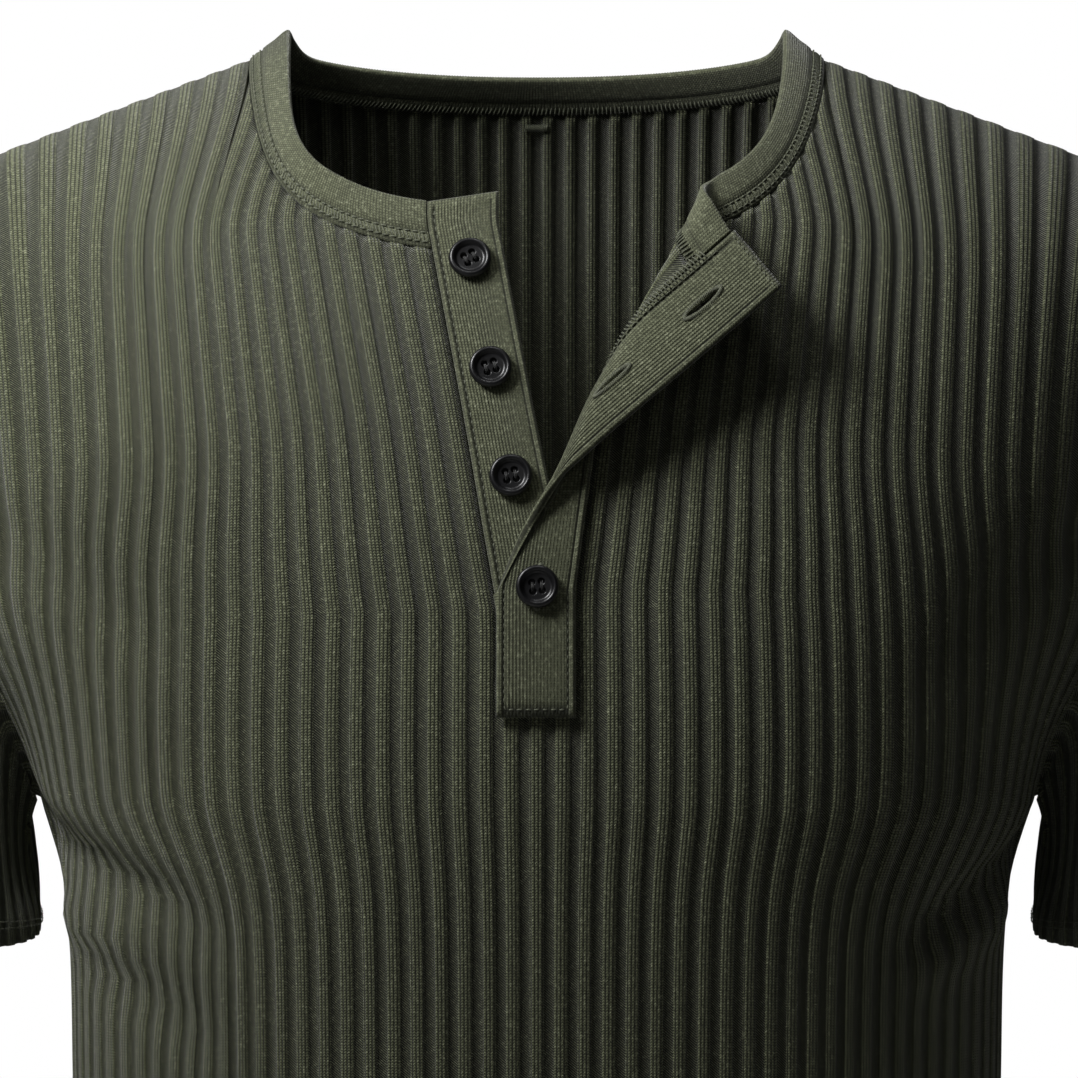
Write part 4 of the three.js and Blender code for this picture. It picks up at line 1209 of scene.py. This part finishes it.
@dataclass
class Placket:
    """One of the two placket strips, of fine rib running along it."""

    node: str
    lap: Lap
    left: float
    right: float
    foot: float
    top: float
    slant: float
    lift: float
    holes: tuple = ()
    wall: float = 2.2
    ribs: int = 23
    edge_ridge: float = 0.4
    stitch_inset: float = 2.4
    slant_run: float = 30.0

    def lift_at(self, z: Array) -> Array:
        """How far the strip lies off the body: on top of the other one at its foot only."""
        return self.lift * FORM.stacked(z)

    def build(self) -> bpy.types.Object:
        """The strip: fine ribs, ridges along its stitched edges, and slits cut through it."""
        u = np.linspace(self.left, self.right, self.ribs * 4 + 1)
        rise = 0.5 + 0.5 * np.cos(2 * math.pi * (np.arange(len(u)) - 2) / 4)
        z = np.arange(self.foot, self.top, 2.4)
        for hole in self.holes:
            z = np.concatenate([z, np.arange(hole.z - 7.0, hole.z + 7.0, 0.6)])
        z = np.unique(np.round(np.append(z, [self.foot, self.top]), 2))
        grid_u, grid_z = np.meshgrid(u, z, indexing="ij")
        edge_u = np.minimum(grid_u - self.left, self.right - grid_u)
        to_top, to_foot = self.top - grid_z, grid_z - self.foot
        edge = np.minimum(edge_u, np.minimum(to_top, to_foot))
        sewn = bell(edge - self.stitch_inset, 0.34)
        ridge = self.edge_ridge * bell(edge - 1.1, 0.9) - 0.45 * sewn
        round_off = 0.5 * bell(edge, 0.45)
        grid_rise = np.broadcast_to(rise[:, None], grid_u.shape)
        rib = 0.34 * (grid_rise - 0.5) * smooth((edge - 1.0) / 1.0)
        near_top = smooth((grid_z - self.top + self.slant_run) / self.slant_run)
        slanted = grid_z + self.slant * grid_u / self.right * near_top
        base = self.lift_at(grid_z)
        outer = FORM.front_point(grid_u, slanted, base + self.wall + ridge + rib - round_off, self.lap)
        inside = base + 0.25 - ridge * 0.6 - rib * 0.9 + round_off
        inner = FORM.front_point(grid_u, slanted, inside, self.lap)
        mid_u = (grid_u[:-1, :-1] + grid_u[1:, 1:]) / 2
        mid_z = (grid_z[:-1, :-1] + grid_z[1:, 1:]) / 2
        keep = np.ones(mid_u.shape, dtype=bool)
        for hole in self.holes:
            keep &= ~hole.inside(mid_u, mid_z)
        place = np.stack([grid_u, grid_z], axis=-1)
        # Painted shade: the knit colour is darkened along the stitch rows and at the strip's rim.
        drawn = 1.0 - 0.85 * sewn - 0.5 * bell(edge, 0.3)
        return shell(self.node + "_cloth", outer, inner, place, drawn, keep, reversed_ribs=False)

    def dress(self, piece: bpy.types.Object, dresser: Dresser) -> None:
        """Finish of the strip."""
        dresser.dress(piece, "fine", "placket_knit", [self.node])


@dataclass
class Button:
    """Four-hole button with a raised rim round a dished middle."""

    node: str
    z: float
    on_upper: bool
    radius: float = 6.9
    thickness: float = 3.0
    hole_radius: float = 1.0
    hole_place: float = 1.5
    hole_depth: float = 1.25
    dish: float = 0.57
    turn: float = 0.0

    profile = (
        (0.0, 0.0), (0.62, 0.0), (0.86, 0.12), (0.96, 0.28), (1.0, 0.52), (0.985, 0.72), (0.94, 0.9),
        (0.885, 0.985), (0.83, 1.0), (0.78, 0.96), (0.735, 0.86), (0.7, 0.72), (0.66, 0.62), (0.6, 0.57),
    )

    def frame_axes(self) -> tuple[Array, Array, Array, Array]:
        """Foot point, right, up and outward axis of the button on its placket."""
        lap = Lap.ROLLED if self.on_upper else Lap.FLAT
        side = 0.01 if self.on_upper else -0.01
        lift = FORM.placket_wall + FORM.seam_gap
        if self.on_upper:
            lift += FORM.placket_wall + FORM.seam_gap
        foot = FORM.front_point(side, self.z, lift, lap)
        axis = unit(FORM.front_point(side, self.z, lift + 1.0, lap) - foot)
        right = unit(np.cross([0.0, 0.0, 1.0], axis))
        up = np.cross(axis, right)
        cos, sin = math.cos(self.turn), math.sin(self.turn)
        return foot, right * cos + up * sin, up * cos - right * sin, axis

    def hole_centres(self) -> Array:
        """Places of the four holes on the button's face."""
        place = self.hole_place
        return np.array([(x, y) for x in (-place, place) for y in (-place, place)])

    def build(self) -> bpy.types.Object:
        """A turned profile, its dished face pressed down steeply at the four holes."""
        under = np.array(self.profile)
        face = np.linspace(self.dish, 0.0, 30)
        radius = np.concatenate([under[:, 0], face]) * self.radius
        dished = self.dish - 0.03 * (1 - (face / self.dish) ** 2)
        height = np.concatenate([under[:, 1], dished]) * self.thickness
        angle = np.linspace(0.0, 2 * math.pi, 73)
        x = radius[None, :] * np.cos(angle)[:, None]
        y = radius[None, :] * np.sin(angle)[:, None]
        on_face = np.arange(len(radius)) >= len(under)
        holes = self.hole_centres()
        away = np.min(np.hypot(x[..., None] - holes[:, 0], y[..., None] - holes[:, 1]), -1)
        press = (1.0 - smooth((away - self.hole_radius + 0.12) / 0.24)) * self.hole_depth * on_face
        out = height[None, :] - press
        foot, right, up, axis = self.frame_axes()
        points = foot + x[..., None] * right + y[..., None] * up + out[..., None] * axis
        corners = np.arange(points.shape[0] * points.shape[1]).reshape(points.shape[:2])
        corners[-1] = corners[0]
        faces = grid_faces(corners, np.ones((len(angle) - 1, len(radius) - 1), dtype=bool))
        return make_object(self.node + "_resin", points.reshape(-1, 3), faces, None, None)

    def dress(self, piece: bpy.types.Object, dresser: Dresser) -> None:
        """Finish of the button."""
        dresser.dress(piece, "resin", "button_resin", [self.node])

    def threads(self, dresser: Dresser) -> None:
        """Two thick bars of thread across the face, from hole to hole."""
        foot, right, up, axis = self.frame_axes()
        place = self.hole_place

        def on_face(x: Array, y: Array, lift: Array) -> Array:
            """Point over the button's face."""
            height = 0.55 * self.thickness + np.asarray(lift)
            return foot + x[..., None] * right + y[..., None] * up + height[..., None] * axis

        offsets = np.array([-0.22, 0.22])
        starts = np.array([(side * place + o, -place) for side in (-1, 1) for o in offsets])
        ends = np.array([(side * place + o, place) for side in (-1, 1) for o in offsets])
        bars = stitches(self.node + "_thread", on_face, starts, ends, Tuck(lift=-0.6, rise=0.85, radius=0.2))
        dresser.dress(bars, "dark_thread", "placket_knit")


@dataclass(frozen=True)
class Tuck:
    """How a stitch sits on the cloth: lift at its ends, rise in its middle, radius of the thread."""

    lift: float
    rise: float = 0.3
    radius: float = 0.24


def stitches(name: str, surface: Surface, starts: Array, ends: Array, tuck: Tuck) -> bpy.types.Object:
    """Many short threads on a surface, as one mesh.

    Formula: each thread runs straight on the flat cloth from start to end, arches by a half sine over
    it, and is a six-sided tube that thins towards its ends.

    Args:
        name: name of the piece.
        surface: function of flat place and lift.
        starts: flat places where threads go in, one row each.
        ends: flat places where they come out.
        tuck: how they sit.

    Returns:
        The object.
    """
    sides, steps = 6, 5
    t = np.linspace(0.0, 1.0, steps)
    flat = starts[:, None, :] + (ends - starts)[:, None, :] * t[None, :, None]
    lift = np.broadcast_to(tuck.lift + tuck.rise * np.sin(math.pi * t), flat.shape[:2])
    centre = surface(flat[..., 0], flat[..., 1], lift)
    above = surface(flat[..., 0], flat[..., 1], lift + 0.5)
    along = unit(np.gradient(centre, axis=1))
    across = unit(np.cross(along, above - centre))
    normal = np.cross(across, along)
    size = tuck.radius * np.sqrt(np.sin(math.pi * (0.12 + 0.76 * t)))[None, :, None, None]
    angle = np.arange(sides) * 2 * math.pi / sides
    ring = across[:, :, None] * np.cos(angle)[None, None, :, None]
    ring = ring + normal[:, :, None] * np.sin(angle)[None, None, :, None]
    points = centre[:, :, None] + ring * size
    block = steps * sides
    ids = np.arange(block).reshape(steps, sides)
    beside = np.roll(ids, -1, axis=1)
    tube = np.stack([ids[:-1], beside[:-1], beside[1:], ids[1:]], axis=-1).reshape(-1, 4)
    caps = np.array([[3, 2, 1, 0], [5, 4, 3, 0]])
    last = (steps - 1) * sides
    faces = np.concatenate([tube, caps, caps[:, ::-1] + last])
    everything = (faces[None] + np.arange(len(starts))[:, None, None] * block).reshape(-1, 4)
    return make_object(name, points.reshape(-1, 3), everything, None, None)


STITCH_PART = 0.72


def along_path(path: Array, pitch: float) -> tuple[Array, Array]:
    """Starts and ends of straight stitches along a flat path, each a part of the pitch long."""
    steps = np.linalg.norm(np.diff(path, axis=0), axis=-1)
    way = np.concatenate([[0.0], np.cumsum(steps)])
    count = max(int(way[-1] / pitch), 1)
    begin = np.arange(count) * way[-1] / count

    def at(distance: Array) -> Array:
        """Flat place at a distance along the path."""
        return np.stack([np.interp(distance, way, path[:, i]) for i in range(2)], axis=-1)

    return at(begin), at(begin + STITCH_PART * way[-1] / count)


def across_path(path: Array, pitch: float, half: float, lean: float) -> tuple[Array, Array]:
    """Starts and ends of threads that lie across a flat path, each leaning along it."""
    middle, ahead = along_path(path, pitch)
    run = unit(ahead - middle)
    side = np.stack([-run[:, 1], run[:, 0]], axis=-1) * half
    return middle - side - run * lean, middle + side + run * lean


def line(*places: tuple[float, float], count: int = 40) -> Array:
    """A flat path through places, with steps between."""
    corners = np.array(places, float)
    t = np.linspace(0, len(corners) - 1, count * (len(corners) - 1) + 1)
    return np.stack([np.interp(t, np.arange(len(corners)), corners[:, i]) for i in range(2)], axis=-1)


@dataclass
class Sewing:
    """All the stitching that holds the pieces together."""

    dresser: Dresser
    step_share: float = 1.14
    sleeve_hem_stitches: int = 115

    def sew(self, name: str, surface: Surface, starts: Array, ends: Array, tuck: Tuck) -> None:
        """Makes threads from starts to ends, as one piece."""
        piece = stitches(name, surface, starts, ends, tuck)
        self.dresser.dress(piece, "thread", "placket_knit")

    def row(self, name: str, surface: Surface, path: Array, pitch: float, tuck: Tuck) -> None:
        """One straight row of stitches."""
        self.sew(name, surface, *along_path(path, pitch), tuck)

    def chain(self, name: str, surface: Surface, path: Array, pitch: float, half: float, tuck: Tuck) -> None:
        """One row of threads across a path, as of an overlocked or worked edge."""
        self.sew(name, surface, *across_path(path, pitch, half, lean=0.35), tuck)

    def hems(self, sleeves: dict[str, Surface]) -> None:
        """Two even rows round the body hem and round each sleeve hem."""
        for side in Side:
            surface = FORM.body_surface(side)
            for number, z in enumerate((-670.0, -665.0)):
                path = line((-FORM.panel_half + 1, z), (FORM.panel_half - 1, z), count=200)
                name = f"hem_stitches_{side.name.lower()}_{number + 1}"
                self.row(name, surface, path, 3.0, Tuck(lift=2.0))
        for node, surface in sleeves.items():
            count = self.sleeve_hem_stitches
            for number, down in enumerate((0.9, 0.925)):
                share = np.linspace(0.0, 1.0, count + 1)[:-1]
                rows = np.full(count, down)
                starts = np.stack([share, rows], axis=-1)
                ends = np.stack([share + STITCH_PART / count, rows], axis=-1)
                self.sew(f"{node}_hem_stitches_{number + 1}", surface, starts, ends, Tuck(lift=2.3))

    def neck(self, surface: Surface, length: float) -> None:
        """Two rows on the band above its seam, outside and in, and the looped rows between them."""
        for number, up in enumerate((2.0, 5.0)):
            path = line((0.8, up), (length - 0.8, up), count=300)
            self.row(f"neckband_row_{number + 1}", surface, path, 2.6, Tuck(lift=2.1, rise=0.3, radius=0.3))
        middle = line((0.8, 3.5), (length - 0.8, 3.5), count=300)
        self.chain("neckband_loops", surface, middle, 1.3, 1.3, Tuck(lift=1.95, rise=0.22, radius=0.2))
        inside = line((0.8, 1.6), (length - 0.8, 1.6), count=300)
        sunk = Tuck(lift=0.1, rise=-0.35, radius=0.26)
        self.chain("neckband_inner_chain", surface, inside, 1.5, 1.7, sunk)
        bar_z = float(FORM.neck_height(Side.BACK, np.array([0.0]))[0]) - 4.0
        bar = line((-4.2, bar_z), (4.2, bar_z))
        inwards = Tuck(lift=-0.1, rise=-0.4)
        self.chain("back_neck_bartack", FORM.body_surface(Side.BACK), bar, 0.7, 1.1, inwards)

    def plackets(self) -> None:
        """Edge rows, the box at the foot, the overlocked seam on the lapel and the short end."""
        flat, rolled = FORM.lap_surface(Lap.FLAT), FORM.lap_surface(Lap.ROLLED)
        low = FORM.placket_wall + 0.1
        high = 2 * FORM.placket_wall + FORM.seam_gap + 0.05
        under = Tuck(lift=low - 0.7, rise=0.45, radius=0.26)
        self.row("under_placket_edge_row", flat, line((-9.6, -203.0), (-9.6, -52.0)), 2.6, under)
        self.row("under_placket_inner_row", flat, line((-7.2, -203.0), (-7.2, -52.0)), 2.6, under)
        self.row("under_placket_top_row", flat, line((-10.5, -54.2), (10.5, -51.2)), 2.8, under)
        over = Tuck(lift=high - 0.7, rise=0.45, radius=0.26)
        box = line((-10.2, -172.0), (-10.2, -212.5), (9.6, -212.5), (9.6, -176.0))
        self.row("upper_placket_box_rows", rolled, box, 2.6, over)
        self.row("upper_placket_cross_row", rolled, line((-10.2, -206.0), (9.6, -206.0)), 2.6, over)
        turned = line((12.4, -60.0), (12.4, -118.0), count=60)
        self.chain("lapel_overlock", rolled, turned, 1.25, 1.9, Tuck(lift=-0.05, rise=-0.5, radius=0.3))
        edge = line((10.2, -56.0), (10.2, -122.0))
        self.row("lapel_overlock_edge", rolled, edge, 2.2, Tuck(lift=0.1, rise=-0.3))
        end = line((-11.5, -49.8), (11.2, -49.8))
        self.row("lapel_end_row", rolled, end, 2.2, Tuck(lift=0.15, rise=-0.35, radius=0.28))

    def buttonhole(self, hole: Buttonhole, number: int) -> None:
        """Close satin threads round a slit on both faces, with a bar at each end."""
        surface = FORM.lap_surface(Lap.ROLLED)
        t = np.linspace(0.0, 2 * math.pi, 73)[:-1]
        lens = hole.half_open + 0.75
        middle = np.stack([np.sin(t) * lens, hole.z + np.cos(t) * (hole.half_length + 0.3)], axis=-1)
        out = unit(np.stack([np.sin(t), 0.25 * np.cos(t)], axis=-1)) * 0.7
        step = self.step_share * FORM.placket_wall * float(FORM.stacked(np.array(hole.z)))
        lift = FORM.placket_wall + step
        for face, tuck in (
            ("inner", Tuck(lift=lift - FORM.placket_wall + 0.1, rise=-0.35, radius=0.2)),
            ("outer", Tuck(lift=lift + 0.05, rise=0.3, radius=0.2)),
        ):
            self.sew(f"buttonhole_{number}_{face}", surface, middle - out, middle + out, tuck)


@dataclass(frozen=True)
class Lamp:
    """A soft rectangular light."""

    name: str
    place: tuple
    aim: tuple
    size: float
    power: float
    colour: str = "#ffffff"


@dataclass
class Studio:
    """Floor, white surround, soft lights and the camera."""

    camera_place: tuple = (0.0007, -2.5, -0.158)
    lens: float = 250.5
    floor_z: float = -0.78
    lamps: tuple = (
        Lamp("key_softbox", (-0.48, -0.37, 0.39), (-0.1, -0.06, -0.02), 0.28, 7.4),
        Lamp("neck_glow", (0.02, -0.18, 0.24), (0.0, 0.07, -0.09), 0.1, 0.22),
        Lamp("front_fill", (-0.6, -2.3, 0.5), (-0.05, 0.0, -0.1), 1.2, 0.9),
        Lamp("back_fill", (0.3, 2.0, 0.7), (0.0, 0.0, -0.3), 1.4, 8.0),
    )

    def build(self) -> None:
        """Makes the whole studio."""
        self._surround()
        self._floor()
        for lamp in self.lamps:
            self._lamp(lamp)
        self._camera()
        bpy.context.scene.view_settings.view_transform = "Standard"

    def _surround(self) -> None:
        """A white surround to the eye that gives only weak light."""
        world = bpy.data.worlds.new("studio_surround")
        world.use_nodes = True
        tree = world.node_tree
        tree.nodes.clear()
        seen = add_node(tree, "ShaderNodeLightPath").outputs["Is Camera Ray"]
        strength = maths(tree, "MULTIPLY_ADD", seen, 0.988, 0.012)
        white = {"Color": srgb("#ffffff"), "Strength": strength}
        shine = add_node(tree, "ShaderNodeBackground", white).outputs[0]
        add_node(tree, "ShaderNodeOutputWorld", {0: shine})
        bpy.context.scene.world = world

    def _floor(self) -> None:
        """A plain pale floor under the shirt."""
        half = 3000.0
        ids = np.array([[0, 1, 2, 3]])
        z = self.floor_z / METRES
        corners = np.array([(-half, -half, z), (half, -half, z), (half, half, z), (-half, half, z)])
        floor = make_object("studio_floor", corners, ids, None, None)
        material, tree = new_material("matt_paper_floor")
        coords = add_node(tree, "ShaderNodeTexCoord").outputs["Object"]
        grain = add_node(tree, "ShaderNodeTexNoise", {"Vector": coords, "Scale": 180.0}).outputs["Fac"]
        tone = blend_colour(tree, grain, srgb("#e6e6e4"), srgb("#f2f2f0"))
        surface = {"Base Color": tone, "Roughness": 0.9}
        shaded = add_node(tree, "ShaderNodeBsdfPrincipled", surface).outputs[0]
        add_node(tree, "ShaderNodeOutputMaterial", {0: shaded})
        floor.data.materials.append(material)

    def _lamp(self, lamp: Lamp) -> None:
        """One area light, turned towards its aim."""
        light = bpy.data.lights.new(lamp.name, "AREA")
        light.size = lamp.size
        light.energy = lamp.power
        light.color = srgb(lamp.colour)[:3]
        stand = bpy.data.objects.new(lamp.name, light)
        stand.location = lamp.place
        self._turn(stand, lamp.aim)
        bpy.context.scene.collection.objects.link(stand)

    def _turn(self, thing: bpy.types.Object, aim: tuple) -> None:
        """Turns a light or camera so that it looks at a point."""
        way = Vector(aim) - thing.location
        thing.rotation_euler = way.to_track_quat("-Z", "Y").to_euler()

    def _camera(self) -> None:
        """The camera, level and square to the front."""
        camera = bpy.data.cameras.new("photo_camera")
        camera.sensor_width = 36.0
        camera.lens = self.lens
        stand = bpy.data.objects.new("photo_camera", camera)
        stand.location = self.camera_place
        stand.rotation_euler = (math.pi / 2, 0.0, 0.0)
        bpy.context.scene.collection.objects.link(stand)
        bpy.context.scene.camera = stand


BUTTON_LEVELS = (-69.0, -104.0, -138.5, -174.0)
BUTTON_TURNS = (0.5, 0.32, 0.2, 0.12)


def main() -> None:
    """Builds the studio and every piece of the shirt, in order."""
    logging.basicConfig(level=logging.INFO, format="%(name)s %(message)s")
    Studio().build()
    dresser = Dresser(
        {
            "rib": WideRibKnit().build(),
            "fine": FineRibKnit().build(),
            "thread": SpunThread().build(),
            "dark_thread": SpunThread(colour="#2c2c2b", shade="#101010").build(),
            "resin": TurnedResin().build(),
        }
    )
    for side in Side:
        panel = BodyPanel(side, f"{side.name.lower()}_panel")
        panel.dress(panel.build(), dresser)
    sleeve_surfaces = {}
    for mirror, node in ((False, "sleeve_left"), (True, "sleeve_right")):
        sleeve = Sleeve(mirror, node)
        piece, sleeve_surfaces[node] = sleeve.build()
        sleeve.dress(piece, dresser)
    band = Neckband()
    piece, band_surface = band.build()
    band.dress(piece, dresser)
    edge = FORM.slot_half - FORM.seam_gap
    under = Placket(
        "button_placket", Lap.FLAT, left=-edge, right=edge, foot=FORM.slot_foot_z + FORM.seam_gap,
        top=FORM.placket_top_z, slant=1.7, lift=0.0,
    )
    holes = tuple(Buttonhole(z, half_open=0.9 if i == 0 else 0.35) for i, z in enumerate(BUTTON_LEVELS))
    upper = Placket(
        "buttonhole_placket", Lap.ROLLED, left=-FORM.slot_half - FORM.seam_gap, right=edge,
        foot=FORM.placket_foot_z, top=FORM.placket_top_z, slant=0.0,
        lift=FORM.placket_wall + FORM.seam_gap, holes=holes,
    )
    for placket in (under, upper):
        placket.dress(placket.build(), dresser)
    for i, (z, turn) in enumerate(zip(BUTTON_LEVELS, BUTTON_TURNS)):
        button = Button(f"button_{i + 1}", z, on_upper=i == len(BUTTON_LEVELS) - 1, turn=turn)
        button.dress(button.build(), dresser)
        button.threads(dresser)
    sewing = Sewing(dresser)
    sewing.hems(sleeve_surfaces)
    sewing.neck(band_surface, band.length())
    sewing.plackets()
    for i, hole in enumerate(holes):
        sewing.buttonhole(hole, i + 1)


if __name__ == "__main__":
    main()
